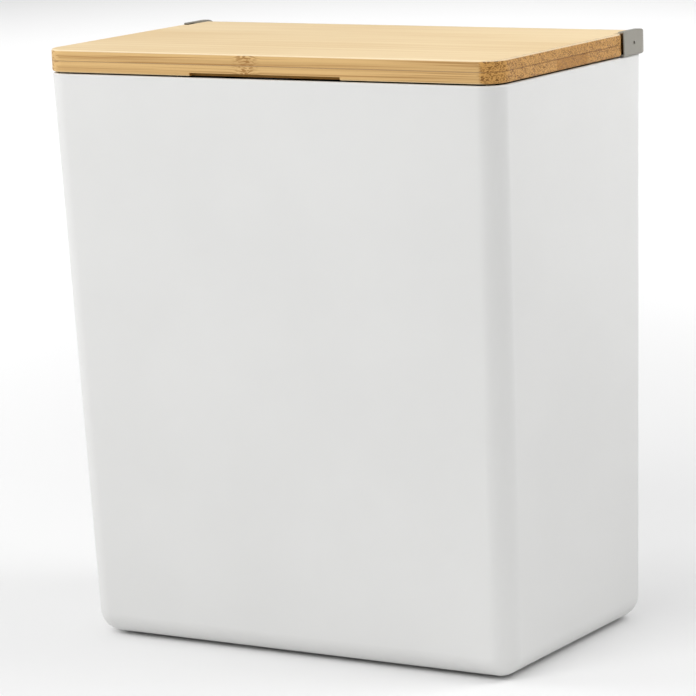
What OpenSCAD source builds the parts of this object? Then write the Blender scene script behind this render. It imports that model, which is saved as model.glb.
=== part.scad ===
// Countertop bin with a push top. A white shell holds a lift-out bucket. Its lid is two
// bamboo boards, which turn on two steel pins between grey hinge caps, and a sprung
// magnetic latch stands under the lid's front.
// Sizes are in millimetres. X runs to the right, Y to the back and Z up. The origin is on
// the surface that the bin stands on, under the middle of its rim.

/* [Body] */
// Width of the body at its rim
body_w = 240; // [210:1:290]
// Depth of the body at its rim
body_d = 146; // [130:1:180]
// Height of the body from its underside to its rim
body_h = 270; // [210:1:330]
// How far each side leans in at the base
side_lean = 6.4; // [0:0.2:12]
// How far the front leans in at the base
front_lean = 9.8; // [0:0.2:14]
// Thickness of the body's walls
wall = 2.4; // [1.8:0.1:3]
// Thickness of the body's floor
floor_t = 2.6; // [2.2:0.1:4]
// Radius of the upright corners and of the base edge
corner_r = 10.7; // [8:0.1:14]
// Thickness of the ledge behind the lid
ledge_t = 3; // [2:0.1:4]
// Diameter of a foot pad
foot_d = 14; // [10:0.5:18]
// How far a foot pad stands out of the underside
foot_proud = 1.2; // [0.8:0.1:2.5]

/* [Lid] */
// Gap between the rim and the lid
lid_gap = 0.75; // [0.75:0.05:1.5]
// Thickness of each of the two boards
board_t = 5.25; // [5:0.05:7]
// How far the lid stands out past the front and sides
lid_over = 0.2; // [0:0.1:1]
// Width of the boards' eased edges
lid_ease = 0.8; // [0.3:0.1:1.2]
// Distance from the body's back to the lid's back edge
rear_strip = 9.6; // [9:0.1:11]
// Width of the finger grip
grip_w = 82; // [60:1:110]
// Height of the finger grip at the front
grip_h = 1.5; // [1:0.1:2.5]
// Depth of the finger grip
grip_d = 3; // [2:0.1:4]
// How far the middle of the finger grip stands to the right
grip_x = 2; // [0:0.5:4]

/* [Hinge] */
// Thickness of a hinge cap's ear
ear_t = 3; // [2.6:0.1:4]
// How far an ear stands out past the body's side
ear_out = 1; // [0.5:0.1:2]
// Length of an ear from front to back
ear_l = 25.2; // [24:0.1:27]
// How far an ear rises above the lid
ear_rise = 0.6; // [0:0.1:2]
// Gap between an ear and the lid's end
side_gap = 0.6; // [0.5:0.05:1]
// Slit between the lid's shoulder and the front of an ear
slit = 2; // [1:0.1:3]
// Radius of a hinge cap's rear outer corner
cap_r = 7; // [4:0.1:8]
// How far a hinge cap's foot runs in along the ledge
cap_foot_l = 22; // [20:0.5:30]
// Distance from the body's back to the hinge axis
pivot_in = 14.75; // [14:0.05:15.5]
// Diameter of a hinge pin
pin_d = 3; // [2.5:0.1:3.4]
// Length of a hinge bush in the lid
bush_l = 8; // [6:0.5:12]
// Radial clearance of whatever turns or slides
run_clear = 0.05; // [0.02:0.01:0.1]
// Opening angle at which the lid meets its stops
lid_open = 105; // [100:1:112]
// Angle that the closed lid can be pressed down
lid_press = 0.3; // [0.1:0.05:0.3]

/* [Latch] */
// Width of the latch housing
latch_w = 15; // [13:0.5:20]
// Depth of the latch housing
latch_d = 12; // [11:0.5:14]
// Height of the latch housing
latch_h = 36; // [34:0.5:44]
// Diameter of the latch plunger
plunger_d = 8; // [7.6:0.1:8.6]
// Travel of the latch plunger
plunger_travel = 1.2; // [0.8:0.1:2]
// Wire diameter of the latch spring
wire_d = 0.7; // [0.5:0.05:0.9]
// Turns of the latch spring
spring_turns = 7; // [5:1:8]
// Thickness of the strike plate
strike_t = 1; // [0.8:0.1:1.2]

/* [Bucket] */
// Gap between the bucket and the body's walls
bucket_gap = 2.5; // [2:0.1:5]
// Thickness of the bucket's walls
bucket_wall = 1.8; // [1.4:0.1:2.4]
// Depth of the bucket's rim below the body's rim
bucket_drop = 5; // [4.5:0.5:20]
// Corner radius at the bucket's rim
bucket_r = 19; // [19:0.5:26]
// Width of the finger notches in the bucket's rim
notch_w = 64; // [50:1:80]
// Depth of the finger notches
notch_d = 13; // [8:0.5:20]

/* [Hidden] */

$fn = 64;
form_fn = 48;      // facets round a corner of a hulled form
over = 1;          // how far a cut runs past what it cuts

// Levels, from the standing surface up
rim_z = foot_proud + body_h;
lid_z = rim_z + lid_gap;
pivot_z = lid_z + board_t;
lid_top = lid_z + 2 * board_t;
ear_top = lid_top + ear_rise;

// Places from front to back
back_y = body_d / 2;
front_y = -body_d / 2;
cap_back = back_y + lid_over;
lid_back = back_y - rear_strip;
pivot_y = back_y - pivot_in;
ear_front = cap_back - ear_l;
shoulder_y = ear_front - slit;
ledge_gap = 0.8;
ledge_y = lid_back + ledge_gap;

// Places from side to side
ear_out_x = body_w / 2 + ear_out;
ear_in_x = ear_out_x - ear_t;
shoulder_x = ear_in_x - side_gap;
cap_foot_x = ear_in_x - cap_foot_l;

// The lid's tail turns inside a hollow in each cap's foot, whose upper lip stops the lid
swing_r = norm([lid_back - pivot_y, board_t]) + 0.65;
stop_gap = 0.1;
stop_a = acos((board_t + stop_gap) / swing_r) - (lid_open - 90);
stop_z = pivot_z + swing_r * sin(stop_a);
foot_fall = 1.6;
ear_skin = 0.8;
poke_d = 1.5;
cap_ease = 0.8;

// Hinge bushes
pin_r = pin_d / 2;
bush_r = pin_r + run_clear + 1.4;
flange_r = bush_r + 1.2;
flange_t = side_gap - 0.15;

// Screws of the hinge caps
cap_screw_r = 1.2;
cap_head_r = 2.2;
cap_head_h = 1.8;
cap_seat_z = rim_z + 4.6;
cap_screw_l = 12;
cap_screw_y = cap_back - 3.3;
cap_screw_xs = [cap_foot_x + 6, ear_in_x - 5];
boss_h = 7;
boss_w = 8;
boss_y = cap_screw_y - 3.6;

// Foot pads
foot_seat = 0.8;
foot_edge = 4;
foot_x = body_w / 2 - side_lean - corner_r - foot_d / 2 - foot_edge;
foot_front_y = front_y + front_lean + corner_r + foot_d / 2 + foot_edge;
foot_rear_y = back_y - corner_r - foot_d / 2 - foot_edge;

// Bumpers on the shelves in the front corners
bumper_r = 2.2;
bumper_off = 3.7;
bumper_x = body_w / 2 - corner_r + bumper_off;
bumper_y = front_y + corner_r - bumper_off;
shelf_leg = 14;
shelf_t = 5;
shelf_z = rim_z - 1.6;
bumper_seat = 1;
touch_gap = 0.03;
bumper_top = pivot_z - board_t * cos(lid_press)
    - (pivot_y - bumper_y + bumper_r) * sin(lid_press) - touch_gap;

// Latch
pad_d = 5.6;
pad_y = front_y + pad_d;
latch_y = pad_y + latch_d / 2;
latch_top = rim_z - 4;
latch_low = latch_top - latch_h;
collar_t = 3;
flap_w = 7.5;
flap_t = 2.6;
flap_h = 12;
flap_low = latch_top - 16;
latch_screw_x = latch_w / 2 + flap_w / 2;
latch_screw_z = flap_low + flap_h / 2;
latch_screw_r = 1.1;
latch_head_r = 2;
latch_head_h = 1.5;
latch_screw_in = 3;
plunger_r = plunger_d / 2;
neck_r = plunger_r - 0.6;
plunger_l = 16;
plunger_top = latch_top - collar_t - run_clear;
plunger_low = plunger_top - plunger_l;
plug_t = 3;
plug_rim_t = 1;
post_r = 2.2;
magnet_r = neck_r - 1.1;
magnet_t = 3;
strike_w = 24;
strike_d = 11;
strike_r = 2;
strike_z = lid_z - strike_t;
strike_air = 0.8;
tip_z = strike_z - strike_air;
strike_screw_x = 8.5;
strike_screw_r = 1.1;
strike_head_r = 1.9;
strike_screw_l = 4.4;

// Bucket
rib_h = 2;
rib_w = 3;
rib_x = body_w / 4;
bucket_low = foot_proud + floor_t + rib_h;
bucket_top = rim_z - bucket_drop;
bucket_base_r = 12;
bucket_back = ledge_y - 1;
bucket_lip = 1;
bucket_lip_h = 3;
channel_gap = 2;
channel_x = latch_w / 2 + flap_w + 2 * channel_gap;
channel_y = pad_y + latch_d + channel_gap;
notch_r = 6;

// Half the body's width, and the body's front, at a height
function half_w(z) = body_w / 2 - side_lean * (rim_z - z) / body_h;
function front_at(z) = front_y + front_lean * (rim_z - z) / body_h;

// The lower half of a ball
module ball_end(r) {
    rotate_extrude($fn = form_fn)
        polygon(concat([[0, 0]], [for (a = [0:7.5:90]) [r * sin(a), -r * cos(a)]]));
}

// An upright form with rounded corners and base edge that leans as the body does.
// It stands in from the body's sides and front by inset and ends at y1 behind. Only the
// upper edge of the thin cones at its top shapes it.
module leaning_form(inset, y1, low, high, r_low, r_high) {
    ring_h = 0.2;
    z_ball = low + r_low;
    hull() {
        for (side = [-1, 1]) {
            x_low = side * (half_w(z_ball) - inset - r_low);
            x_high = side * (half_w(high) - inset - r_high);
            translate([x_low, front_at(z_ball) + inset + r_low, z_ball])
                ball_end(r_low);
            translate([x_low, y1 - r_low, z_ball])
                ball_end(r_low);
            translate([x_high, front_at(high) + inset + r_high, high - ring_h])
                cylinder(r1 = r_high - ring_h, r2 = r_high, h = ring_h, $fn = form_fn);
            translate([x_high, y1 - r_high, high - ring_h])
                cylinder(r1 = r_high - ring_h, r2 = r_high, h = ring_h, $fn = form_fn);
        }
    }
}

// A flat outline with four round corners, centred
module round_rect(w, d, r) {
    square([w - 2 * r, d], center = true);
    square([w, d - 2 * r], center = true);
    for (x = [-1, 1], y = [-1, 1])
        translate([x * (w / 2 - r), y * (d / 2 - r)])
            circle(r);
}

// Copies what it is given to both sides of the middle plane
module both_sides() {
    children();
    mirror([1, 0, 0])
        children();
}

// Places what it is given at each of the right cap's two screws
module at_cap_screws() {
    for (x = cap_screw_xs)
        translate([x, cap_screw_y, 0])
            children();
}

// Body

module rear_ledge() {
    translate([-body_w / 2, ledge_y, rim_z - ledge_t])
        cube([body_w, body_d, ledge_t]);
    both_sides()
        for (x = cap_screw_xs)
            translate([x - boss_w / 2, boss_y, rim_z - ledge_t - boss_h])
                cube([boss_w, body_d, boss_h + ledge_t]);
}

// Shelf across the inside of the front right corner
module corner_shelf() {
    translate([body_w / 2 - wall, front_y + wall, shelf_z - shelf_t])
        linear_extrude(shelf_t)
            polygon([[wall, -wall], [-shelf_leg, -wall], [-shelf_leg, 0],
                [0, shelf_leg], [wall, shelf_leg]]);
}

module latch_pad() {
    low = flap_low - 4;
    translate([-latch_screw_x - 5, front_y, low])
        cube([2 * latch_screw_x + 10, pad_d, latch_top - low]);
}

module bucket_ribs() {
    both_sides()
        translate([rib_x - rib_w / 2, -body_d / 2, foot_proud])
            cube([rib_w, body_d, floor_t + rib_h]);
}

module body_shell() color("white") difference() {
    leaning_form(0, back_y, foot_proud, rim_z, corner_r, corner_r);
    difference() {
        leaning_form(wall, back_y - wall, foot_proud + floor_t, rim_z + over,
            corner_r - wall, corner_r - wall);
        rear_ledge();
        both_sides()
            corner_shelf();
        latch_pad();
        bucket_ribs();
    }
    both_sides() {
        at_cap_screws()
            translate([0, 0, cap_seat_z - cap_screw_l])
                cylinder(r = cap_screw_r, h = cap_screw_l + over);
        translate([bumper_x, bumper_y, shelf_z - bumper_seat])
            cylinder(r = bumper_r, h = bumper_seat + over);
        translate([foot_x, foot_front_y, 0])
            cylinder(d = foot_d, h = foot_proud + foot_seat);
        translate([foot_x, foot_rear_y, 0])
            cylinder(d = foot_d, h = foot_proud + foot_seat);
        translate([latch_screw_x, pad_y - latch_screw_in, latch_screw_z])
            rotate([-90, 0, 0])
                cylinder(r = latch_screw_r, h = latch_screw_in + over);
    }
}

module foot(side, y) color("lightgray")
    translate([side * foot_x, y, 0])
        cylinder(d = foot_d, h = foot_proud + foot_seat);

module lid_bumper(side) color("lightgray")
    translate([side * bumper_x, bumper_y, shelf_z - bumper_seat])
        cylinder(r = bumper_r, h = bumper_top - shelf_z + bumper_seat);

// Bucket

module latch_channel(grow) {
    translate([-channel_x - grow, front_y, 0])
        cube([2 * (channel_x + grow), channel_y + grow - front_y, rim_z + over]);
}

// Finger notches in the rim on both sides of the bucket
module bucket_notches() {
    translate([-body_w / 2, 0, bucket_top])
        rotate([90, 0, 90])
            linear_extrude(body_w)
                round_rect(notch_w, 2 * notch_d, notch_r);
}

module inner_bucket() color("dimgray") difference() {
    inset = wall + bucket_gap;
    in_wall = inset + bucket_wall;
    union() {
        leaning_form(inset, bucket_back, bucket_low, bucket_top, bucket_base_r, bucket_r);
        intersection() {
            leaning_form(inset - bucket_lip, bucket_back + bucket_lip / 2, bucket_low,
                bucket_top, bucket_base_r, bucket_r + bucket_lip);
            translate([-body_w / 2, front_y, bucket_top - bucket_lip_h])
                cube([body_w, body_d, bucket_lip_h]);
        }
    }
    latch_channel(0);
    difference() {
        leaning_form(in_wall, bucket_back - bucket_wall, bucket_low + bucket_wall,
            bucket_top + over, bucket_base_r - bucket_wall, bucket_r - bucket_wall);
        latch_channel(bucket_wall);
    }
    bucket_notches();
}

// Hinge

// The right cap's outline in plan, drawn in by e on its outer sides
module cap_plan(e) {
    r = cap_r - e;
    x1 = ear_out_x - e;
    y1 = cap_back - e;
    translate([cap_foot_x, ear_front + e])
        square([x1 - r - cap_foot_x, y1 - ear_front - e]);
    translate([cap_foot_x, ear_front + e])
        square([x1 - cap_foot_x, y1 - r - ear_front - e]);
    translate([x1 - r, y1 - r])
        circle(r, $fn = form_fn);
}

// The block that both the ear and the foot are cut from, with its edges eased
module cap_block() {
    h = ear_top - rim_z;
    translate([0, 0, rim_z])
        hull() {
            translate([0, 0, cap_ease])
                linear_extrude(h - 2 * cap_ease)
                    cap_plan(0);
            translate([0, 0, cap_ease * 0.3])
                linear_extrude(h - 0.6 * cap_ease)
                    cap_plan(cap_ease * 0.3);
            linear_extrude(h)
                cap_plan(cap_ease);
        }
}

module right_cap() difference() {
    union() {
        intersection() {
            cap_block();
            translate([ear_in_x, ear_front, rim_z])
                cube([ear_t, ear_l, ear_top - rim_z]);
        }
        intersection() {
            cap_block();
            translate([cap_foot_x, 0, 0])
                rotate([90, 0, 90])
                    linear_extrude(cap_foot_l)
                        polygon([[ledge_y + 0.2, rim_z], [cap_back, rim_z],
                            [cap_back, stop_z - foot_fall], [ledge_y + 0.2, stop_z]]);
        }
    }
    translate([cap_foot_x - over, pivot_y, pivot_z])
        rotate([0, 90, 0])
            cylinder(r = swing_r, h = cap_foot_l + over);
    translate([ear_in_x - over, pivot_y, pivot_z])
        rotate([0, 90, 0])
            cylinder(r = pin_r, h = ear_t - ear_skin + over);
    translate([ear_in_x, pivot_y, pivot_z])
        rotate([0, 90, 0])
            cylinder(d = poke_d, h = ear_t + over);
    at_cap_screws() {
        translate([0, 0, rim_z - over])
            cylinder(r = cap_screw_r, h = ear_top);
        translate([0, 0, cap_seat_z])
            cylinder(r = cap_head_r + 0.2, h = ear_top);
    }
}

module hinge_cap(side) color([0.63, 0.62, 0.58])
    mirror([side < 0 ? 1 : 0, 0, 0])
        right_cap();

// A pan head screw that points down, with its seat at the origin
module pan_screw(r, l, head_r, head_h) {
    slot_w = head_r * 0.35;
    translate([0, 0, -l])
        cylinder(r = r, h = l);
    difference() {
        cylinder(r = head_r, h = head_h);
        for (a = [0, 90])
            rotate([0, 0, a])
                translate([-head_r * 0.65, -slot_w / 2, head_h / 2])
                    cube([head_r * 1.3, slot_w, head_h]);
    }
}

module hinge_cap_screws() color("silver")
    both_sides()
        at_cap_screws()
            translate([0, 0, cap_seat_z])
                pan_screw(cap_screw_r, cap_screw_l - 0.5, cap_head_r, cap_head_h);

module hinge_pin(side) color("silver")
    mirror([side < 0 ? 1 : 0, 0, 0])
        translate([shoulder_x - bush_l + 0.3, pivot_y, pivot_z])
            rotate([0, 90, 0])
                cylinder(r = pin_r, h = ear_out_x - ear_skin - shoulder_x + bush_l - 0.3);

module lid_bush(side) color("ivory")
    mirror([side < 0 ? 1 : 0, 0, 0])
        translate([shoulder_x, pivot_y, pivot_z])
            rotate([0, 90, 0])
                difference() {
                    union() {
                        translate([0, 0, -bush_l])
                            cylinder(r = bush_r, h = bush_l);
                        cylinder(r = flange_r, h = flange_t);
                    }
                    translate([0, 0, -bush_l - over])
                        cylinder(r = pin_r + run_clear, h = bush_l + flange_t + 2 * over);
                }

// Lid

// The wide part of the lid in plan, drawn in by e
module lid_front_plan(e) {
    x1 = body_w / 2 + lid_over - e;
    y0 = front_y - lid_over + e;
    r = corner_r + lid_over - e;
    translate([-x1 + r, y0])
        square([2 * (x1 - r), shoulder_y - e - y0]);
    translate([-x1, y0 + r])
        square([2 * x1, shoulder_y - e - y0 - r]);
    for (x = [-x1 + r, x1 - r])
        translate([x, y0 + r])
            circle(r, $fn = form_fn);
}

// The narrow tail of the lid in plan, drawn in by e
module lid_tail_plan(e) {
    translate([-shoulder_x + e, shoulder_y - 10])
        square([2 * (shoulder_x - e), lid_back - e - shoulder_y + 10]);
}

// One board lying on the XY plane with the edge of its upper face eased
module eased_board() {
    hull() {
        linear_extrude(board_t - lid_ease)
            lid_front_plan(0);
        linear_extrude(board_t - 0.3 * lid_ease)
            lid_front_plan(0.3 * lid_ease);
        linear_extrude(board_t)
            lid_front_plan(lid_ease);
    }
    hull() {
        linear_extrude(board_t - lid_ease)
            lid_tail_plan(0);
        linear_extrude(board_t - 0.3 * lid_ease)
            lid_tail_plan(0.3 * lid_ease);
        linear_extrude(board_t)
            lid_tail_plan(lid_ease);
    }
}

// The holes for the two bushes, half in each board
module bush_holes() {
    both_sides()
        translate([shoulder_x - bush_l, pivot_y, pivot_z])
            rotate([0, 90, 0])
                cylinder(r = bush_r, h = bush_l + over);
}

module lid_upper_board() color("burlywood") difference() {
    translate([0, 0, pivot_z])
        eased_board();
    bush_holes();
}

module finger_grip() {
    translate([grip_x - grip_w / 2, front_y - lid_over - over, lid_z - over])
        cube([grip_w, grip_d + over, grip_h + over]);
}

module lid_lower_board() color("tan") difference() {
    translate([0, 0, pivot_z])
        mirror([0, 0, 1])
            eased_board();
    bush_holes();
    finger_grip();
    both_sides()
        translate([strike_screw_x, latch_y, lid_z - over])
            cylinder(r = strike_screw_r, h = strike_screw_l - strike_t + over);
}

// Latch

module latch_housing() color("white") difference() {
    union() {
        translate([0, latch_y, latch_low])
            linear_extrude(latch_h)
                round_rect(latch_w, latch_d, 1.5);
        translate([-latch_w / 2 - flap_w, pad_y, flap_low])
            cube([latch_w + 2 * flap_w, flap_t, flap_h]);
    }
    translate([0, latch_y, latch_low - over])
        cylinder(r = plunger_r + run_clear, h = latch_h - collar_t + over);
    translate([0, latch_y, latch_low])
        cylinder(r = neck_r + run_clear, h = latch_h + over);
    both_sides()
        translate([latch_screw_x, pad_y - over, latch_screw_z])
            rotate([-90, 0, 0])
                cylinder(r = latch_screw_r, h = flap_t + 2 * over);
}

// The plug's post ends the plunger's travel
module latch_end_plug() color("lightgray") {
    translate([0, latch_y, latch_low])
        cylinder(r = plunger_r + run_clear, h = plug_t);
    translate([0, latch_y, latch_low])
        cylinder(r = post_r, h = plunger_low - plunger_travel - run_clear - latch_low);
    translate([0, latch_y, latch_low - plug_rim_t])
        cylinder(r = plunger_r + 1, h = plug_rim_t);
}

module latch_plunger() color("lightgray") translate([0, latch_y, 0]) difference() {
    union() {
        translate([0, 0, plunger_low])
            cylinder(r = plunger_r, h = plunger_l);
        translate([0, 0, plunger_low])
            cylinder(r = neck_r, h = tip_z - plunger_low);
    }
    translate([0, 0, tip_z - magnet_t])
        cylinder(r = magnet_r, h = magnet_t + over);
}

module latch_magnet() color("silver")
    translate([0, latch_y, tip_z - magnet_t])
        cylinder(r = magnet_r, h = magnet_t);

module latch_screws() color("silver")
    both_sides()
        translate([latch_screw_x, pad_y + flap_t, latch_screw_z])
            rotate([-90, 0, 0])
                pan_screw(latch_screw_r, latch_screw_in + flap_t - 0.3,
                    latch_head_r, latch_head_h);

// A point of the spring's wire: turn angle t along the coil, u round the wire
function wire_point(t, u, coil_r, pitch) =
    let (rise = pitch * t / 360, tilt = atan(pitch / (2 * PI * coil_r)),
        out = wire_d / 2 * cos(u), up = wire_d / 2 * sin(u))
    [(coil_r + out) * cos(t) + up * sin(tilt) * sin(t),
        (coil_r + out) * sin(t) - up * sin(tilt) * cos(t),
        rise + up * cos(tilt)];

module latch_spring() color("silver") {
    rings = 12;
    sides = 6;
    low = latch_low + plug_t + 0.05;
    high = plunger_low - 0.05;
    coil_r = plunger_r - run_clear - wire_d / 2 - 0.15;
    pitch = (high - low - wire_d) / spring_turns;
    last = spring_turns * rings;
    points = [for (i = [0:last], k = [0:sides - 1])
        wire_point(i * 360 / rings, k * 360 / sides, coil_r, pitch)];
    skin = [for (i = [0:last - 1], k = [0:sides - 1])
        let (a = i * sides + k, b = i * sides + (k + 1) % sides)
        [a, a + sides, b + sides, b]];
    ends = [[for (k = [0:sides - 1]) k],
        [for (k = [0:sides - 1]) last * sides + sides - 1 - k]];
    translate([0, latch_y, low + wire_d / 2])
        polyhedron(points, concat(skin, ends), convexity = 10);
}

module strike_plate() color("silver") difference() {
    translate([0, latch_y, strike_z])
        linear_extrude(strike_t)
            round_rect(strike_w, strike_d, strike_r);
    both_sides()
        translate([strike_screw_x, latch_y, strike_z])
            cylinder(r1 = strike_head_r, r2 = strike_screw_r, h = strike_t);
}

module strike_screws() color("silver")
    both_sides()
        translate([strike_screw_x, latch_y, strike_z]) {
            cylinder(r1 = strike_head_r, r2 = strike_screw_r, h = strike_t);
            cylinder(r = strike_screw_r, h = strike_screw_l - 0.3);
        }

body_shell();
foot(-1, foot_front_y);  // foot_front_left
foot(1, foot_front_y);  // foot_front_right
foot(-1, foot_rear_y);  // foot_rear_left
foot(1, foot_rear_y);  // foot_rear_right
inner_bucket();
hinge_cap(-1);  // hinge_cap_left
hinge_cap(1);  // hinge_cap_right
hinge_cap_screws();
hinge_pin(-1);  // hinge_pin_left
hinge_pin(1);  // hinge_pin_right
lid_bumper(-1);  // lid_bumper_left
lid_bumper(1);  // lid_bumper_right
latch_housing();
latch_end_plug();
latch_spring();
latch_screws();
latch_plunger();
latch_magnet();
lid_upper_board();
lid_lower_board();
lid_bush(-1);  // lid_bush_left
lid_bush(1);  // lid_bush_right
strike_plate();
strike_screws();
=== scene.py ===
"""Dressed model of a countertop bin with a hinged bamboo lid and a sprung magnetic latch.

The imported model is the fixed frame. Every visible piece is modelled here at the size and
place that the frame gives, and it rides on the frame's body. Lengths in the classes are
millimetres and MM turns them into Blender's metres. X runs to the bin's right, Y to its
back and Z up, and the origin is on the floor under the middle of the bin.
"""

import logging
import math
from contextlib import contextmanager
from dataclasses import dataclass
from enum import Enum
from itertools import pairwise
from typing import Callable, Iterator, Sequence

import bmesh
import bpy
from mathutils import Matrix, Vector

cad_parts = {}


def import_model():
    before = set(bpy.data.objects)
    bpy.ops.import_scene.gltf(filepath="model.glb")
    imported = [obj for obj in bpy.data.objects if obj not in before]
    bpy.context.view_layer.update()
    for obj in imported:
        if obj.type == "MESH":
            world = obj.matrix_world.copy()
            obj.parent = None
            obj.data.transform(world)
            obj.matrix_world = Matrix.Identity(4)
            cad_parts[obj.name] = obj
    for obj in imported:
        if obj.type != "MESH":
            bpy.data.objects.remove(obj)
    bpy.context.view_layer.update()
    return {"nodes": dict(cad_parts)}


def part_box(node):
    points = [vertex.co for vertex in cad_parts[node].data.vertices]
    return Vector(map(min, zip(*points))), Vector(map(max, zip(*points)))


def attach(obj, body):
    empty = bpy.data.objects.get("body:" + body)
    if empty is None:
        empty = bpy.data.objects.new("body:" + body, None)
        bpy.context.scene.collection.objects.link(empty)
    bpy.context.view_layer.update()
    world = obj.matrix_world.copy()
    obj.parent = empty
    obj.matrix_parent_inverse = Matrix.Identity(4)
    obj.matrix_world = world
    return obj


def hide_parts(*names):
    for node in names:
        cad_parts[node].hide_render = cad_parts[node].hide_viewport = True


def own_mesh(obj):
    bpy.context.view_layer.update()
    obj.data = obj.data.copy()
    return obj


MM = 0.001
SMOOTH_ANGLE = math.radians(35.0)
WELD = 0.002  # Vertices closer than this, in millimetres, become one in a finished piece
PAST = 1.0  # How far, in millimetres, a cutter runs past what it cuts
LOG = logging.getLogger("countertop_bin")

Object = bpy.types.Object
Edge = bmesh.types.BMEdge
Socket = bpy.types.NodeSocket
Point = tuple[float, float, float]
Range = tuple[float, float]
Colour = tuple[float, float, float]


class Axis(Enum):
    """The direction that a turned or drawn form runs in."""

    X = "x"
    Y = "y"
    Z = "z"


class Kind(Enum):
    """What an edit-mode selection is made of."""

    VERT = "VERT"
    EDGE = "EDGE"
    FACE = "FACE"


class Side(Enum):
    """The left or right of the bin, as its front is seen."""

    LEFT = -1
    RIGHT = 1

    @property
    def word(self) -> str:
        """The side's name in lower case."""
        return self.name.lower()


class Body(Enum):
    """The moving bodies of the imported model."""

    BODY = "body"
    LID = "lid"
    PLUNGER = "plunger"


# Turns a form drawn along Z so that it runs along another axis
AXIS_TURN = {
    Axis.X: Matrix(((0, 0, 1, 0), (1, 0, 0, 0), (0, 1, 0, 0), (0, 0, 0, 1))),
    Axis.Y: Matrix(((0, 1, 0, 0), (0, 0, 1, 0), (1, 0, 0, 0), (0, 0, 0, 1))),
    Axis.Z: Matrix.Identity(4),
}


# Modelling


def drop_selection() -> None:
    """Leaves edit mode and deselects every object."""
    if bpy.context.object and bpy.context.object.mode != "OBJECT":
        bpy.ops.object.mode_set(mode="OBJECT")
    bpy.ops.object.select_all(action="DESELECT")


def activate(obj: Object) -> None:
    """Makes an object the only selected one, and the active one."""
    drop_selection()
    obj.select_set(True)
    bpy.context.view_layer.objects.active = obj


def settle(obj: Object) -> Object:
    """Puts an object's place, turn and scale into its mesh."""
    activate(obj)
    bpy.ops.object.transform_apply(location=True, rotation=True, scale=True)
    return obj


@contextmanager
def editing(obj: Object) -> Iterator[None]:
    """Holds an object in edit mode with all of its mesh selected.

    Args:
        obj: The object to edit.

    Yields:
        Nothing; edit mode ends with the block.
    """
    activate(obj)
    bpy.ops.object.mode_set(mode="EDIT")
    bpy.ops.mesh.select_all(action="SELECT")
    yield
    bpy.ops.object.mode_set(mode="OBJECT")


def pick(obj: Object, kind: Kind, test: Callable) -> None:
    """Selects, in edit mode, the elements of one kind that pass a test.

    Args:
        obj: The object in edit mode.
        kind: The kind of element.
        test: Takes an element and says whether it is wanted.
    """
    bpy.ops.mesh.select_mode(type=kind.value)
    bpy.ops.mesh.select_all(action="DESELECT")
    mesh = bmesh.from_edit_mesh(obj.data)
    lists = {Kind.VERT: mesh.verts, Kind.EDGE: mesh.edges, Kind.FACE: mesh.faces}
    for element in [e for e in lists[kind] if test(e)]:
        element.select_set(True)
    bmesh.update_edit_mesh(obj.data)


def near(a: float, b: float, room: float = 0.02) -> bool:
    """Whether a mesh coordinate a, in metres, lies at b, in millimetres."""
    return abs(a - b * MM) < room * MM


def is_level(edge: Edge, z: float, room: float = 0.02) -> bool:
    """Whether both ends of an edge lie at a height."""
    return all(near(v.co.z, z, room) for v in edge.verts)


def stands_at(edge: Edge, x: float, y: float) -> bool:
    """Whether an upright edge stands x from the middle plane and at y from front to back."""
    upright = abs(edge.verts[0].co.z - edge.verts[1].co.z) > MM
    return upright and all(near(abs(v.co.x), x) and near(v.co.y, y) for v in edge.verts)


def is_sharp(edge: Edge, degrees: float = 30.0) -> bool:
    """Whether the two faces at an edge meet at more than an angle."""
    return edge.is_manifold and abs(edge.calc_face_angle(0.0)) > math.radians(degrees)


def face_outwards() -> None:
    """Turns every face of the object in edit mode outwards."""
    bpy.ops.mesh.select_all(action="SELECT")
    bpy.ops.mesh.normals_make_consistent(inside=False)


def reflect() -> None:
    """Mirrors the object in edit mode in the bin's middle plane."""
    stretch(-1.0, 1.0, 1.0)
    face_outwards()


def bevel(width: float, segments: int) -> None:
    """Rounds the selected edges in edit mode."""
    bpy.ops.mesh.bevel(
        offset=width * MM, segments=segments, profile=0.5, affect="EDGES", clamp_overlap=False
    )


def shift(x: float = 0.0, y: float = 0.0, z: float = 0.0) -> None:
    """Moves what is selected in edit mode."""
    bpy.ops.transform.translate(value=(x * MM, y * MM, z * MM))


def extrude(x: float = 0.0, y: float = 0.0, z: float = 0.0) -> None:
    """Extrudes the selected faces in edit mode."""
    bpy.ops.mesh.extrude_region_move(
        TRANSFORM_OT_translate={"value": (x * MM, y * MM, z * MM)}
    )


def stretch(x: float, y: float, z: float, about: Point = (0.0, 0.0, 0.0)) -> None:
    """Scales what is selected in edit mode about a point."""
    bpy.ops.transform.resize(value=(x, y, z), center_override=tuple(c * MM for c in about))


def block(name: str, low: Point, high: Point) -> Object:
    """Adds a box between two corners.

    Args:
        name: The object's name.
        low: The lowest corner.
        high: The highest corner.

    Returns:
        The box.
    """
    drop_selection()
    centre = [(a + b) / 2 * MM for a, b in zip(low, high)]
    size = [(b - a) * MM for a, b in zip(low, high)]
    bpy.ops.mesh.primitive_cube_add(size=1, location=centre)
    bpy.context.object.name = name
    bpy.context.object.scale = size
    return settle(bpy.context.object)


def rod(
    name: str, start: Point, length: float, radius: float, axis: Axis = Axis.Z, sides: int = 48
) -> Object:
    """Adds a plain cylinder, as a cutter or a start.

    Args:
        name: The object's name.
        start: The centre of its first end.
        length: Its length along the axis.
        radius: Its radius.
        axis: The way it runs from its start.
        sides: How many sides its circle has.

    Returns:
        The cylinder.
    """
    return turned(name, start, [(radius, 0.0), (radius, length)], axis, sides)


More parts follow.
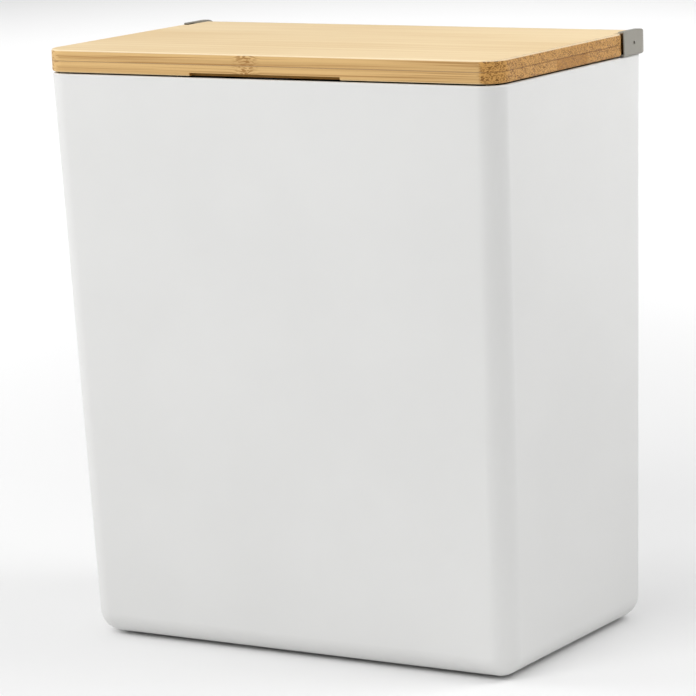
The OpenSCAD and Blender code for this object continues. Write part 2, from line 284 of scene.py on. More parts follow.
def turned(
    name: str, start: Point, rings: Sequence[Range], axis: Axis = Axis.Z, sides: int = 48
) -> Object:
    """Turns a closed round form, a ring at a time, as on a lathe.

    Args:
        name: The object's name.
        start: Where the form's axis starts.
        rings: Each ring's radius, and its distance from the start along the axis.
        axis: The way the form runs.
        sides: How many sides its circles have.

    Returns:
        The turned form.
    """
    drop_selection()
    bpy.ops.mesh.primitive_circle_add(
        vertices=sides, radius=rings[0][0] * MM, fill_type="NGON",
        location=(0.0, 0.0, rings[0][1] * MM),
    )
    obj = settle(bpy.context.object)
    obj.name = name
    with editing(obj):
        for (r_from, z_from), (r_to, z_to) in pairwise(rings):
            extrude(z=z_to - z_from)
            stretch(r_to / r_from, r_to / r_from, 1.0, (0.0, 0.0, z_to))
        face_outwards()
    obj.matrix_world = Matrix.Translation(Vector(start) * MM) @ AXIS_TURN[axis]
    return settle(obj)


def plate(
    name: str,
    low: Range,
    high: Range,
    span: Range,
    radius: float,
    axis: Axis = Axis.Z,
    segments: int = 8,
) -> Object:
    """Draws a rectangle with round corners out along an axis.

    Args:
        name: The object's name.
        low: The outline's lowest corner across the axis: XY for Z, YZ for X and ZX for Y.
        high: The outline's highest corner.
        span: Where the form starts and ends along the axis.
        radius: The corners' radius.
        axis: The way the form runs.
        segments: How many faces each corner has.

    Returns:
        The drawn form.
    """
    drop_selection()
    centre = ((low[0] + high[0]) / 2 * MM, (low[1] + high[1]) / 2 * MM, span[0] * MM)
    bpy.ops.mesh.primitive_plane_add(size=1, location=centre)
    obj = bpy.context.object
    obj.name = name
    obj.scale = ((high[0] - low[0]) * MM, (high[1] - low[1]) * MM, 1.0)
    settle(obj)
    with editing(obj):
        bpy.ops.mesh.bevel(
            offset=radius * MM, segments=segments, profile=0.5, affect="VERTICES",
            clamp_overlap=False,
        )
        bpy.ops.mesh.select_all(action="SELECT")
        extrude(z=span[1] - span[0])
        face_outwards()
    obj.matrix_world = AXIS_TURN[axis]
    return settle(obj)


def apply_modifier(obj: Object, kind: str, **settings: object) -> Object:
    """Adds a modifier, sets it and applies it.

    Args:
        obj: The object to change.
        kind: Blender's name for the modifier.
        settings: The modifier's settings.

    Returns:
        The changed object.
    """
    activate(obj)
    modifier = obj.modifiers.new(kind.lower(), kind)
    for key, value in settings.items():
        setattr(modifier, key, value)
    bpy.ops.object.modifier_apply(modifier=modifier.name)
    return obj


def combine(obj: Object, other: Object, how: str) -> Object:
    """Joins a second solid to the first or cuts it out, and removes the second."""
    apply_modifier(obj, "BOOLEAN", object=other, operation=how, solver="EXACT")
    bpy.data.objects.remove(other)
    return obj


def cut(obj: Object, *cutters: Object) -> Object:
    """Takes each cutter's shape out of an object."""
    for cutter in cutters:
        combine(obj, cutter, "DIFFERENCE")
    return obj


def fuse(obj: Object, *others: Object) -> Object:
    """Makes an object and others one solid."""
    for other in others:
        combine(obj, other, "UNION")
    return obj


def join(obj: Object, *others: Object) -> Object:
    """Puts separate solids into one object."""
    activate(obj)
    for other in others:
        other.select_set(True)
    bpy.ops.object.join()
    return obj


def soften(obj: Object, width: float, segments: int = 2, degrees: float = 40.0) -> Object:
    """Rounds an object's sharp edges a little."""
    return apply_modifier(
        obj, "BEVEL", width=width * MM, segments=segments, limit_method="ANGLE",
        angle_limit=math.radians(degrees), use_clamp_overlap=True, miter_outer="MITER_ARC",
    )


def mirrored(obj: Object, name: str) -> Object:
    """Copies an object to the other side of the bin's middle plane.

    Args:
        obj: The object on one side.
        name: The copy's name.

    Returns:
        The copy, with its own mesh facing outwards.
    """
    activate(obj)
    bpy.ops.object.duplicate(linked=False)
    copy = bpy.context.object
    copy.name = name
    with editing(copy):
        reflect()
    return copy


def hand_over(
    obj: Object, material: bpy.types.Material, body: Body, node: str
) -> Object:
    """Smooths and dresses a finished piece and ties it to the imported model.

    Args:
        obj: The finished piece.
        material: Its material.
        body: The body that it rides on.
        node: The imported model's node that it replaces.

    Returns:
        The piece.
    """
    with editing(obj):
        bpy.ops.mesh.remove_doubles(threshold=WELD * MM)
    activate(obj)
    bpy.ops.object.shade_smooth_by_angle(angle=SMOOTH_ANGLE)
    apply_modifier(obj, "WEIGHTED_NORMAL", keep_sharp=True, weight=80)
    obj.data.name = obj.name
    obj.data.materials.clear()
    obj.data.materials.append(material)
    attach(obj, body.value)
    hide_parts(node)
    LOG.info("%s: %d faces, rides on %s", obj.name, len(obj.data.polygons), body.value)
    return obj


# Sizes


@dataclass(frozen=True)
class BinPlan:
    """The sizes and places that the sub-assemblies share."""

    width: float = 240.0
    depth: float = 146.0
    height: float = 270.0
    side_lean: float = 6.4
    front_lean: float = 9.8
    wall: float = 2.4
    floor: float = 2.6
    corner: float = 10.7
    foot_proud: float = 1.2
    lid_gap: float = 0.75
    board: float = 5.25
    lid_over: float = 0.2
    rear_strip: float = 9.6
    ledge_gap: float = 0.8
    ear: float = 3.0
    ear_out: float = 1.0
    ear_length: float = 25.2
    ear_rise: float = 0.6
    side_gap: float = 0.6
    slit: float = 2.0
    cap_foot: float = 22.0
    pivot_in: float = 14.75
    latch_pad: float = 5.6
    latch_depth: float = 12.0
    latch_height: float = 36.0

    @property
    def rim(self) -> float:
        """Height of the body's rim."""
        return self.foot_proud + self.height

    @property
    def lid_under(self) -> float:
        """Height of the lid's underside."""
        return self.rim + self.lid_gap

    @property
    def pivot_z(self) -> float:
        """Height of the hinge axis and of the boards' joint."""
        return self.lid_under + self.board

    @property
    def lid_top(self) -> float:
        """Height of the lid's top."""
        return self.lid_under + 2 * self.board

    @property
    def ear_top(self) -> float:
        """Height of the caps' ears."""
        return self.lid_top + self.ear_rise

    @property
    def back(self) -> float:
        """Place of the body's back."""
        return self.depth / 2

    @property
    def front(self) -> float:
        """Place of the body's front at the rim."""
        return -self.depth / 2

    @property
    def cap_back(self) -> float:
        """Place of the caps' backs."""
        return self.back + self.lid_over

    @property
    def lid_back(self) -> float:
        """Place of the lid's back edge."""
        return self.back - self.rear_strip

    @property
    def pivot_y(self) -> float:
        """Place of the hinge axis from front to back."""
        return self.back - self.pivot_in

    @property
    def ear_front(self) -> float:
        """Place of the ears' fronts."""
        return self.cap_back - self.ear_length

    @property
    def shoulder_y(self) -> float:
        """Where the lid's narrow tail starts."""
        return self.ear_front - self.slit

    @property
    def ledge_y(self) -> float:
        """Place of the rear ledge's front edge."""
        return self.lid_back + self.ledge_gap

    @property
    def ear_outside(self) -> float:
        """Outer face of an ear from the middle plane."""
        return self.width / 2 + self.ear_out

    @property
    def ear_inside(self) -> float:
        """Inner face of an ear from the middle plane."""
        return self.ear_outside - self.ear

    @property
    def shoulder_x(self) -> float:
        """Half the width of the lid's tail."""
        return self.ear_inside - self.side_gap

    @property
    def cap_foot_x(self) -> float:
        """Inner end of a cap's foot from the middle plane."""
        return self.ear_inside - self.cap_foot

    @property
    def cap_screw_xs(self) -> Range:
        """The cap screws' places from the middle plane."""
        return (self.cap_foot_x + 6.0, self.ear_inside - 5.0)

    @property
    def cap_screw_y(self) -> float:
        """The cap screws' place from front to back."""
        return self.cap_back - 3.3

    @property
    def cap_seat(self) -> float:
        """Height of the seats of the cap screws."""
        return self.rim + 4.6

    @property
    def pad_y(self) -> float:
        """Inner face of the latch's pad."""
        return self.front + self.latch_pad

    @property
    def latch_y(self) -> float:
        """Place of the latch's axis."""
        return self.pad_y + self.latch_depth / 2

    @property
    def latch_top(self) -> float:
        """Height of the latch housing's top."""
        return self.rim - 4.0

    @property
    def latch_low(self) -> float:
        """Height of the latch housing's foot."""
        return self.latch_top - self.latch_height

    def half_width(self, z: float) -> float:
        """Half the body's width at a height."""
        return self.width / 2 - self.side_lean * (self.rim - z) / self.height

    def front_at(self, z: float) -> float:
        """The body's front at a height."""
        return self.front + self.front_lean * (self.rim - z) / self.height


@dataclass(frozen=True)
class LeaningForm:
    """A block that leans as the body does, with round upright corners and base edge."""

    plan: BinPlan
    inset: float
    back: float
    low: float
    high: float
    radius: float
    segments: int = 12

    def build(self, name: str) -> Object:
        """Models the form and returns it."""
        plan, low, high = self.plan, self.low, self.high
        top_x = plan.half_width(high) - self.inset
        low_x = plan.half_width(low) - self.inset
        top_y = plan.front_at(high) + self.inset
        middle = (low + high) / 2 * MM
        form = block(name, (-top_x, top_y, low), (top_x, self.back, high))
        with editing(form):
            pick(form, Kind.VERT, lambda v: v.co.z < middle)
            stretch(low_x / top_x, 1.0, 1.0, (0.0, 0.0, low))
            pick(form, Kind.VERT, lambda v: v.co.z < middle and v.co.y < 0)
            shift(y=plan.front_at(low) - plan.front_at(high))
            pick(form, Kind.EDGE, lambda e: min(v.co.z for v in e.verts) < middle)
            bevel(self.radius, self.segments)
        return form


# Finishes


class Recipe:
    """A material whose node tree is built a node at a time."""

    def __init__(self, name: str) -> None:
        """Starts an empty material.

        Args:
            name: The material's name.
        """
        self.material = bpy.data.materials.new(name)
        self.material.use_nodes = True
        self.tree = self.material.node_tree
        self.tree.nodes.clear()
        self.shader = self.node("ShaderNodeBsdfPrincipled")
        output = self.node("ShaderNodeOutputMaterial")
        self.tree.links.new(self.shader.outputs["BSDF"], output.inputs["Surface"])
        self.coordinates = self.node("ShaderNodeTexCoord")

    def node(self, kind: str, **settings: object) -> bpy.types.Node:
        """Adds a node and sets its attributes."""
        node = self.tree.nodes.new(kind)
        for key, value in settings.items():
            setattr(node, key, value)
        return node

    def feed(self, node: bpy.types.Node, **values: object) -> bpy.types.Node:
        """Sets or links a node's inputs.

        Args:
            node: The node to feed.
            values: An input's name, with underscores for spaces, and its value or socket. A
                name such as at_1 means the input at that place.

        Returns:
            The node.
        """
        for key, value in values.items():
            place = int(key[3:]) if key.startswith("at_") else key.replace("_", " ")
            socket = node.inputs[place]
            if isinstance(value, Socket):
                self.tree.links.new(value, socket)
            else:
                socket.default_value = value
        return node

    def surface(self, **values: object) -> None:
        """Sets or links the shader's inputs."""
        self.feed(self.shader, **values)

    def split(self, vector: Socket) -> dict[str, Socket]:
        """The three parts of a vector by their letters."""
        node = self.node("ShaderNodeSeparateXYZ")
        self.feed(node, Vector=vector)
        return {letter: node.outputs[letter] for letter in "XYZ"}

    def stretched(self, scale: Point, source: Socket | None = None) -> Socket:
        """The object's coordinates, or another vector, scaled along each axis."""
        mapping = self.node("ShaderNodeMapping")
        self.feed(mapping, Vector=source or self.coordinates.outputs["Object"], Scale=scale)
        return mapping.outputs["Vector"]

    def noise(self, vector: Socket, scale: float = 1.0, detail: float = 2.0) -> Socket:
        """Smooth noise, from 0 to 1, at a number of periods a metre."""
        node = self.node("ShaderNodeTexNoise")
        self.feed(node, Vector=vector, Scale=scale, Detail=detail)
        return node.outputs["Fac"]

    def math(
        self, operation: str, first: object, second: object = 0.0, third: object = 0.0
    ) -> Socket:
        """One step of arithmetic on values or sockets."""
        node = self.node("ShaderNodeMath", operation=operation)
        self.feed(node, at_0=first, at_1=second, at_2=third)
        return node.outputs[0]

    def times(self, first: object, second: object) -> Socket:
        """The product of two values or sockets."""
        return self.math("MULTIPLY", first, second)

    def away(self, value: Socket, centre: float) -> Socket:
        """How far a value lies from a centre, to either side."""
        return self.math("ABSOLUTE", self.math("SUBTRACT", value, centre))

    def ramp(
        self, value: object, low: float, high: float, start: float = 0.0, end: float = 1.0
    ) -> Socket:
        """Maps a range of a value smoothly onto another, and holds it at the ends."""
        node = self.node("ShaderNodeMapRange", interpolation_type="SMOOTHSTEP")
        self.feed(node, at_0=value, at_1=low, at_2=high, at_3=start, at_4=end)
        return node.outputs[0]

    def mix(self, share: object, first: object, second: object) -> Socket:
        """Blends two colours."""
        node = self.node("ShaderNodeMix", data_type="RGBA")
        self.feed(node, at_0=share, at_6=first, at_7=second)
        return node.outputs[2]

    def bump(self, height: Socket, depth: float, strength: float = 1.0) -> Socket:
        """A surface normal from a height, whose full depth is in millimetres."""
        node = self.node("ShaderNodeBump")
        self.feed(node, Height=height, Distance=depth * MM, Strength=strength)
        return node.outputs["Normal"]


def shade(colour: Colour) -> tuple[float, float, float, float]:
    """A colour with full cover, as a socket takes it."""
    return (*colour, 1.0)


@dataclass(frozen=True)
class Moulded:
    """Moulded plastic or silicone with a fine grain and slight clouds in its tone."""

    name: str
    colour: Colour
    roughness: float
    specular: float = 0.5
    grain: float = 0.02
    grain_per_metre: float = 1400.0
    clouds: float = 0.02
    clouds_per_metre: float = 14.0
    sheen: Range = (-0.03, 0.03)

    def material(self) -> bpy.types.Material:
        """Builds the material."""
        recipe = Recipe(self.name)
        spot = recipe.coordinates.outputs["Object"]
        darker = tuple(c * (1.0 - self.clouds) for c in self.colour)
        tone = recipe.ramp(recipe.noise(spot, self.clouds_per_metre, 3.0), 0.35, 0.65)
        grain = recipe.noise(spot, self.grain_per_metre)
        rough = (self.roughness + change for change in self.sheen)
        recipe.surface(
            Base_Color=recipe.mix(tone, shade(darker), shade(self.colour)),
            Roughness=recipe.ramp(grain, 0.2, 0.8, *rough),
            Specular_IOR_Level=self.specular,
            Normal=recipe.bump(grain, self.grain),
        )
        return recipe.material


@dataclass(frozen=True)
class Plated:
    """Plated or plain steel with a faint drawn grain."""

    name: str
    colour: Colour = (0.62, 0.62, 0.61)
    roughness: float = 0.3
    drawn: Point = (300.0, 300.0, 3000.0)
    sheen: Range = (-0.08, 0.1)
    grain: float = 0.003

    def material(self) -> bpy.types.Material:
        """Builds the material."""
        recipe = Recipe(self.name)
        grain = recipe.noise(recipe.stretched(self.drawn), detail=3.0)
        rough = (self.roughness + change for change in self.sheen)
        recipe.surface(
            Base_Color=shade(self.colour),
            Metallic=1.0,
            Roughness=recipe.ramp(grain, 0.25, 0.75, *rough),
            Normal=recipe.bump(grain, self.grain),
        )
        return recipe.material


@dataclass(frozen=True)
class Bamboo:
    """Laminated bamboo: strips glued side by side, fibres along X and end grain at the ends, with a
    painted highlight on the upper eased edge and painted shade in the finger grip.
    """

    name: str
    joint_z: float
    strip: float = 30.0
    shift: float = 0.0
    dark_strip: float = -1.0
    knuckle_x: float = -8.5
    knuckle_reach: float = 9.0
    front_y: float = -66.0
    pale: Colour = (0.865, 0.675, 0.40)
    warm: Colour = (0.79, 0.58, 0.31)
    front: Colour = (0.66, 0.43, 0.18)
    fibre: Colour = (0.35, 0.18, 0.055)
    # Painted highlight: a cream colour laid where the upper board's eased top edge turns
    painted_highlight: Colour = (0.95, 0.82, 0.58)
    end_pale: Colour = (0.57, 0.305, 0.085)
    end_warm: Colour = (0.40, 0.18, 0.03)
    end_dark: Colour = (0.205, 0.088, 0.018)
    glue: Colour = (0.16, 0.07, 0.025)
    # Painted shade: a dark brown laid on the finger grip's rear wall, which the lid's front edge
    # shades
    grip_shade: Colour = (0.30, 0.155, 0.03)
    roughness: float = 0.48
    specular: float = 0.22
    sheen: Range = (-0.06, 0.1)
    relief: Range = (0.05, 0.6)
    right_end: Range = (0.12, 0.3)
    left_end: Range = (0.8, 0.97)
    broad_from: Range = (0.45, 0.9)
    tone_spread: float = 0.45
    tone_slip: float = 3.0
    parting: float = 0.35
    # Heights above the joint, in millimetres, over which the painted highlight fades in
    highlight_rise: Range = (1.0, 2.0)
    glue_edge: Range = (0.12, 0.32)
    grip_edge: Range = (-5.0, -4.5)
    fine_scale: Point = (9.0, 900.0, 1150.0)
    wide_scale: Point = (5.0, 260.0, 420.0)
    cloud_scale: Point = (6.0, 22.0, 22.0)
    dash_scale: Point = (420.0, 900.0, 1900.0)
    speck_scale: Point = (900.0, 1250.0, 1600.0)
    blotch_scale: Point = (60.0, 330.0, 520.0)

    def material(self) -> bpy.types.Material:
        """Builds the material."""
        recipe = Recipe(self.name)
        facing = recipe.split(recipe.coordinates.outputs["Normal"])
        place = recipe.split(recipe.coordinates.outputs["Object"])
        broad = recipe.ramp(recipe.math("ABSOLUTE", facing["Z"]), *self.broad_from)
        tone = self.strip_tone(recipe, place)
        face, rise = self.face_grain(recipe, place, tone, broad)
        end, pits = self.end_grain(recipe, tone)
        right_end = recipe.ramp(facing["X"], *self.right_end)
        left_end = recipe.ramp(recipe.times(facing["X"], -1.0), *self.left_end)
        ends = recipe.math("MAXIMUM", right_end, left_end)
        # Paints shade on the finger grip's rear wall
        colour = recipe.mix(self.in_grip_shade(recipe, facing, place), face, shade(self.grip_shade))
        colour = recipe.mix(ends, colour, end)
        colour = recipe.mix(self.at_joint(recipe, place, broad), colour, shade(self.glue))
        # Paints a cream highlight on the upper board's eased edge
        colour = recipe.mix(self.at_painted_highlight(recipe, facing, place), colour, shade(self.painted_highlight))
        relief = recipe.node("ShaderNodeMix", data_type="FLOAT")
        recipe.feed(relief, at_0=ends, at_2=rise, at_3=pits)
        rough = (self.roughness + change for change in self.sheen)
        recipe.surface(
            Base_Color=colour,
            Roughness=recipe.ramp(rise, 0.0, 1.0, *rough),
            Specular_IOR_Level=self.specular,
            Normal=recipe.bump(relief.outputs[0], *self.relief),
        )
        return recipe.material

    def at_painted_highlight(
        self, recipe: Recipe, facing: dict[str, Socket], place: dict[str, Socket]
    ) -> Socket:
        """Where the painted highlight lies along the upper board's eased edge, from 0 to 1."""
        up = facing["Z"]
        turning = recipe.times(recipe.ramp(up, 0.2, 0.5), recipe.ramp(up, 0.9, 0.99, 0.65, 0.0))
        low, high = ((self.joint_z + rise) * MM for rise in self.highlight_rise)
        return recipe.times(turning, recipe.ramp(place["Z"], low, high))

    def at_joint(self, recipe: Recipe, place: dict[str, Socket], broad: Socket) -> Socket:
        """Where an upright face shows the glue line, from 0 to 1."""
        low, high = (edge * MM for edge in self.glue_edge)
        line = recipe.ramp(recipe.away(place["Z"], self.joint_z * MM), low, high, 0.8, 0.0)
        return recipe.times(line, recipe.math("SUBTRACT", 1.0, broad))

    def in_grip_shade(
        self, recipe: Recipe, facing: dict[str, Socket], place: dict[str, Socket]
    ) -> Socket:
        """Where painted shade darkens the rear wall of the finger grip, from 0 to 1."""
        forward = recipe.ramp(recipe.times(facing["Y"], -1.0), 0.7, 0.9)
        low, high = ((self.front_y + edge) * MM for edge in self.grip_edge)
        return recipe.times(forward, recipe.ramp(place["Y"], low, high))

    def strip_tone(self, recipe: Recipe, place: dict[str, Socket]) -> Socket:
        """A number from 0 to 1 for each glued strip, highest on the one dark strip."""
        across = recipe.math("ADD", place["Y"], self.shift * MM)
        strip = recipe.math("FLOOR", recipe.math("DIVIDE", across, self.strip * MM))
        own = recipe.node("ShaderNodeTexWhiteNoise", noise_dimensions="1D")
        recipe.feed(own, W=strip)
        dark = recipe.math("COMPARE", strip, self.dark_strip, 0.5)
        usual = recipe.times(own.outputs["Value"], self.tone_spread)
        return recipe.math("MAXIMUM", usual, dark)

    def knuckle(self, recipe: Recipe, place: dict[str, Socket]) -> Socket:
        """How near a point of the front is to the bamboo's knuckle, from 0 to 1."""
        off = recipe.away(place["X"], self.knuckle_x * MM)
        near_x = recipe.ramp(off, 0.0, self.knuckle_reach * MM, 1.0, 0.0)
        low, high = (self.front_y - 4.0) * MM, self.front_y * MM
        return recipe.times(near_x, recipe.ramp(place["Y"], low, high, 1.0, 0.0))

    def face_grain(
        self, recipe: Recipe, place: dict[str, Socket], tone: Socket, broad: Socket
    ) -> tuple[Socket, Socket]:
        """Long fibres on the broad faces and the front, which part round the knuckle.

        Args:
            recipe: The material being built.
            place: The object's coordinates.
            tone: A number from 0 to 1 that each strip has of its own.
            broad: 1 on the top and underside, and 0 on the upright faces.

        Returns:
            The colour and the height of the grain.
        """
        knuckle = self.knuckle(recipe, place)
        height = recipe.math("SUBTRACT", place["Z"], self.joint_z * MM)
        parted = recipe.times(height, recipe.math("MULTIPLY_ADD", knuckle, -self.parting, 1.0))
        slipped = recipe.math("MULTIPLY_ADD", tone, self.tone_slip, place["X"])
        along = recipe.node("ShaderNodeCombineXYZ")
        recipe.feed(along, X=slipped, Y=place["Y"], Z=parted)
        grain = along.outputs["Vector"]
        fine = recipe.noise(recipe.stretched(self.fine_scale, grain))
        wide = recipe.noise(recipe.stretched(self.wide_scale, grain), detail=3.0)
        clouds = recipe.noise(recipe.stretched(self.cloud_scale))
        dashes = recipe.noise(recipe.stretched(self.dash_scale, grain))
        lines = recipe.ramp(fine, 0.5, 0.68)
        front, fibre = shade(self.front), shade(self.fibre)
        warmth = recipe.math("MULTIPLY_ADD", clouds, 0.6, recipe.times(wide, 0.4))
        top = recipe.mix(recipe.ramp(warmth, 0.38, 0.62), shade(self.pale), shade(self.warm))
        for share in (tone, lines):
            top = recipe.mix(recipe.times(share, 0.16), top, front)
        edge = recipe.mix(recipe.ramp(wide, 0.42, 0.66, 0.0, 0.3), front, fibre)
        edge = recipe.mix(recipe.times(lines, 0.75), edge, fibre)
        marks = recipe.times(recipe.ramp(dashes, 0.46, 0.56), recipe.times(knuckle, 1.1))
        return recipe.mix(broad, recipe.mix(marks, edge, fibre), top), fine

    def end_grain(self, recipe: Recipe, tone: Socket) -> tuple[Socket, Socket]:
        """Cut fibre bundles, seen as dark specks at the boards' ends.

        Args:
            recipe: The material being built.
            tone: A number from 0 to 1 that each strip has of its own.

        Returns:
            The colour and the height of the grain.
        """
        cells = recipe.node("ShaderNodeTexVoronoi", feature="F1")
        recipe.feed(cells, Vector=recipe.stretched(self.speck_scale), Scale=1.0)
        specks = recipe.ramp(cells.outputs["Distance"], 0.42, 0.6, 1.0, 0.0)
        blotch = recipe.noise(recipe.stretched(self.blotch_scale), detail=3.0)
        share = recipe.times(specks, recipe.ramp(blotch, 0.35, 0.65, 0.35, 1.0))
        base = recipe.mix(recipe.times(tone, 0.75), shade(self.end_pale), shade(self.end_warm))
        colour = recipe.mix(share, base, shade(self.end_dark))
        return colour, recipe.math("SUBTRACT", 1.0, share)


@dataclass(frozen=True)
class Painted:
    """The plain pale floor."""

    name: str
    colour: Colour

    def material(self) -> bpy.types.Material:
        """Builds the material."""
        recipe = Recipe(self.name)
        recipe.surface(Base_Color=shade(self.colour), Roughness=0.9)
        return recipe.material


class Finishes:
    """The materials that the sub-assemblies share."""

    def __init__(self, plan: BinPlan) -> None:
        """Builds every material once.

        Args:
            plan: The bin's sizes.
        """
        self.shell = Moulded("white_shell", (0.70, 0.70, 0.69), 0.42, grain=0.012).material()
        self.cap = Moulded("grey_caps", (0.25, 0.236, 0.197), 0.4, grain=0.01).material()
        self.bucket = Moulded("dark_bucket", (0.045, 0.045, 0.046), 0.5, grain=0.03).material()
        self.latch = Moulded("latch_plastic", (0.62, 0.62, 0.60), 0.38, grain=0.008).material()
        self.silicone = Moulded("silicone", (0.46, 0.46, 0.44), 0.65, 0.35, clouds=0.05).material()
        self.nylon = Moulded("nylon", (0.66, 0.63, 0.54), 0.4, clouds=0.03).material()
        self.steel = Plated("zinc_steel").material()
        self.spring = Plated("spring_steel", (0.5, 0.5, 0.5), 0.25).material()
        self.black_steel = Plated("black_steel", (0.07, 0.07, 0.07), 0.4).material()
        self.magnet = Plated("nickel", (0.68, 0.67, 0.64), 0.18).material()
        self.top_board = Bamboo("bamboo_top", plan.pivot_z, shift=4.0, dark_strip=9.0).material()
        self.under_board = Bamboo("bamboo_under", plan.pivot_z, shift=-12.6).material()
        self.floor = Painted("floor", (0.86, 0.86, 0.86)).material()


# Sub-assemblies


@dataclass
class BodyShell:
    """The white outer shell with its rear ledge, corner shelves, latch pad and floor ribs."""

    plan: BinPlan
    finishes: Finishes
    ledge: float = 3.0
    boss_height: float = 7.0
    boss_width: float = 8.0
    boss_front: float = 3.6
    shelf_leg: float = 14.0
    shelf_thick: float = 5.0
    shelf_fall: float = 1.6
    pad_half: float = 16.25
    pad_drop: float = 20.0
    rib_height: float = 2.0
    rib_width: float = 3.0
    rim_round: float = 0.8
    screw_bore: float = 1.2
    screw_reach: float = 12.0
    hole_facet: float = 0.5
    foot_radius: float = 7.0
    foot_seat: float = 0.8
    foot_edge: float = 4.0
    bumper_radius: float = 2.2
    bumper_off: float = 3.7
    bumper_seat: float = 1.0
    bumper_room: float = 4.0

    @property
    def shelf_z(self) -> float:
        """Height of the shelves in the front corners."""
        return self.plan.rim - self.shelf_fall

    @property
    def bumper_place(self) -> Range:
        """Place of the right bumper."""
        plan = self.plan
        reach = plan.corner - self.bumper_off
        return (plan.width / 2 - reach, plan.front + reach)

    @property
    def foot_places(self) -> dict[str, Range]:
        """Places of the right side's foot pads, front and rear."""
        plan = self.plan
        reach = plan.corner + self.foot_radius + self.foot_edge
        x = plan.width / 2 - plan.side_lean - reach
        return {"front": (x, plan.front + plan.front_lean + reach), "rear": (x, plan.back - reach)}

    def build(self) -> None:
        """Models and dresses the shell, its foot pads and its bumpers."""
        self.shell()
        for side in Side:
            for row, (x, y) in self.foot_places.items():
                self.foot(side, row, x, y)
            self.bumper(side)

    def shell(self) -> Object:
        """Models the shell: an outer form less a cavity that leaves the fittings standing."""
        plan = self.plan
        form = LeaningForm(plan, 0.0, plan.back, plan.foot_proud, plan.rim, plan.corner)
        shell = form.build("white_shell")
        hollow = LeaningForm(
            plan, plan.wall, plan.back - plan.wall, plan.foot_proud + plan.floor,
            plan.rim + PAST, plan.corner - plan.wall,
        )
        cavity = cut(hollow.build("cavity"), *self.fittings())
        cut(shell, fuse(cavity, *self.holes()))
        with editing(shell):
            pick(shell, Kind.EDGE, self.is_rim)
            bevel(self.rim_round, 4)
        return hand_over(shell, self.finishes.shell, Body.BODY, "body_shell")

    def is_rim(self, edge: Edge) -> bool:
        """Whether an edge of the shell runs along its rim, and not round a screw hole."""
        long = edge.calc_length() > self.hole_facet * MM
        return is_level(edge, self.plan.rim) and is_sharp(edge) and long

    def fittings(self) -> list[Object]:
        """Models the ledge, bosses, shelves, latch pad and ribs as solids to leave standing."""
        plan = self.plan
        half, top = plan.width / 2, plan.rim
        made = [block("ledge", (-half, plan.ledge_y, top - self.ledge), (half, plan.depth, top))]
        boss_y = plan.cap_screw_y - self.boss_front
        boss_low = top - self.ledge - self.boss_height
        for side in Side:
            for x in plan.cap_screw_xs:
                centre = side.value * x
                made.append(block(
                    "boss", (centre - self.boss_width / 2, boss_y, boss_low),
                    (centre + self.boss_width / 2, plan.depth, top),
                ))
            made.append(self.shelf(side))
            rib = side.value * plan.width / 4
            made.append(block(
                "rib", (rib - self.rib_width / 2, -half, 0.0),
                (rib + self.rib_width / 2, half, plan.foot_proud + plan.floor + self.rib_height),
            ))
        pad = block(
            "pad", (-self.pad_half, plan.front - PAST, plan.latch_top - self.pad_drop),
            (self.pad_half, plan.pad_y, plan.latch_top),
        )
        made.append(pad)
        return made

    def shelf(self, side: Side) -> Object:
        """Models the shelf across one front corner, cut off at an angle."""
        plan, leg = self.plan, self.shelf_leg
        inner_x, inner_y = plan.width / 2 - plan.wall, plan.front + plan.wall
        shelf = block(
            "shelf", (inner_x - leg, plan.front - PAST, self.shelf_z - self.shelf_thick),
            (plan.width / 2 + PAST, inner_y + leg, self.shelf_z),
        )
        with editing(shelf):
            bpy.ops.mesh.bisect(
                plane_co=(inner_x * MM, (inner_y + leg) * MM, 0.0), plane_no=(-1.0, 1.0, 0.0),
                use_fill=True, clear_outer=True,
            )
        if side is Side.LEFT:
            with editing(shelf):
                reflect()
        return shelf

    def holes(self) -> list[Object]:
        """Models the cutters for the screws and for the seats of the bumpers and pads."""
        plan = self.plan
        bumper_x, bumper_y = self.bumper_place
        made = []
        for side in Side:
            for x in plan.cap_screw_xs:
                start = (side.value * x, plan.cap_screw_y, plan.cap_seat - self.screw_reach)
                length = self.screw_reach + PAST
                made.append(rod("screw_hole", start, length, self.screw_bore, sides=24))
            made.append(rod(
                "bumper_hole", (side.value * bumper_x, bumper_y, self.shelf_z - self.bumper_seat),
                self.bumper_room, self.bumper_radius,
            ))
            for x, y in self.foot_places.values():
                made.append(rod(
                    "foot_hole", (side.value * x, y, 0.0), plan.foot_proud + self.foot_seat,
                    self.foot_radius,
                ))
        return made

    def foot(self, side: Side, row: str, x: float, y: float) -> Object:
        """Models one foot pad with a round lower edge and a shallow dish."""
        top = self.plan.foot_proud + self.foot_seat
        r = self.foot_radius
        rings = [(4.0, 0.25), (5.2, 0.0), (r - 0.5, 0.0), (r - 0.15, 0.15), (r, 0.5), (r, top)]
        foot = turned(f"foot_pad_{row}_{side.word}", (side.value * x, y, 0.0), rings)
        return hand_over(
            foot, self.finishes.silicone, Body.BODY, f"foot_{row}_{side.word}"
        )

    def bumper(self, side: Side) -> Object:
        """Models one lid bumper with a domed top."""
        x, y = self.bumper_place
        low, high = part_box(f"lid_bumper_{side.word}")
        height, r = (high.z - low.z) / MM, self.bumper_radius
        rings = [(r, 0.0), (r, height - 0.5), (r - 0.15, height - 0.2), (r - 0.6, height)]
        bumper = turned(f"bumper_{side.word}", (side.value * x, y, low.z / MM), rings)
        return hand_over(
            bumper, self.finishes.silicone, Body.BODY, f"lid_bumper_{side.word}"
        )


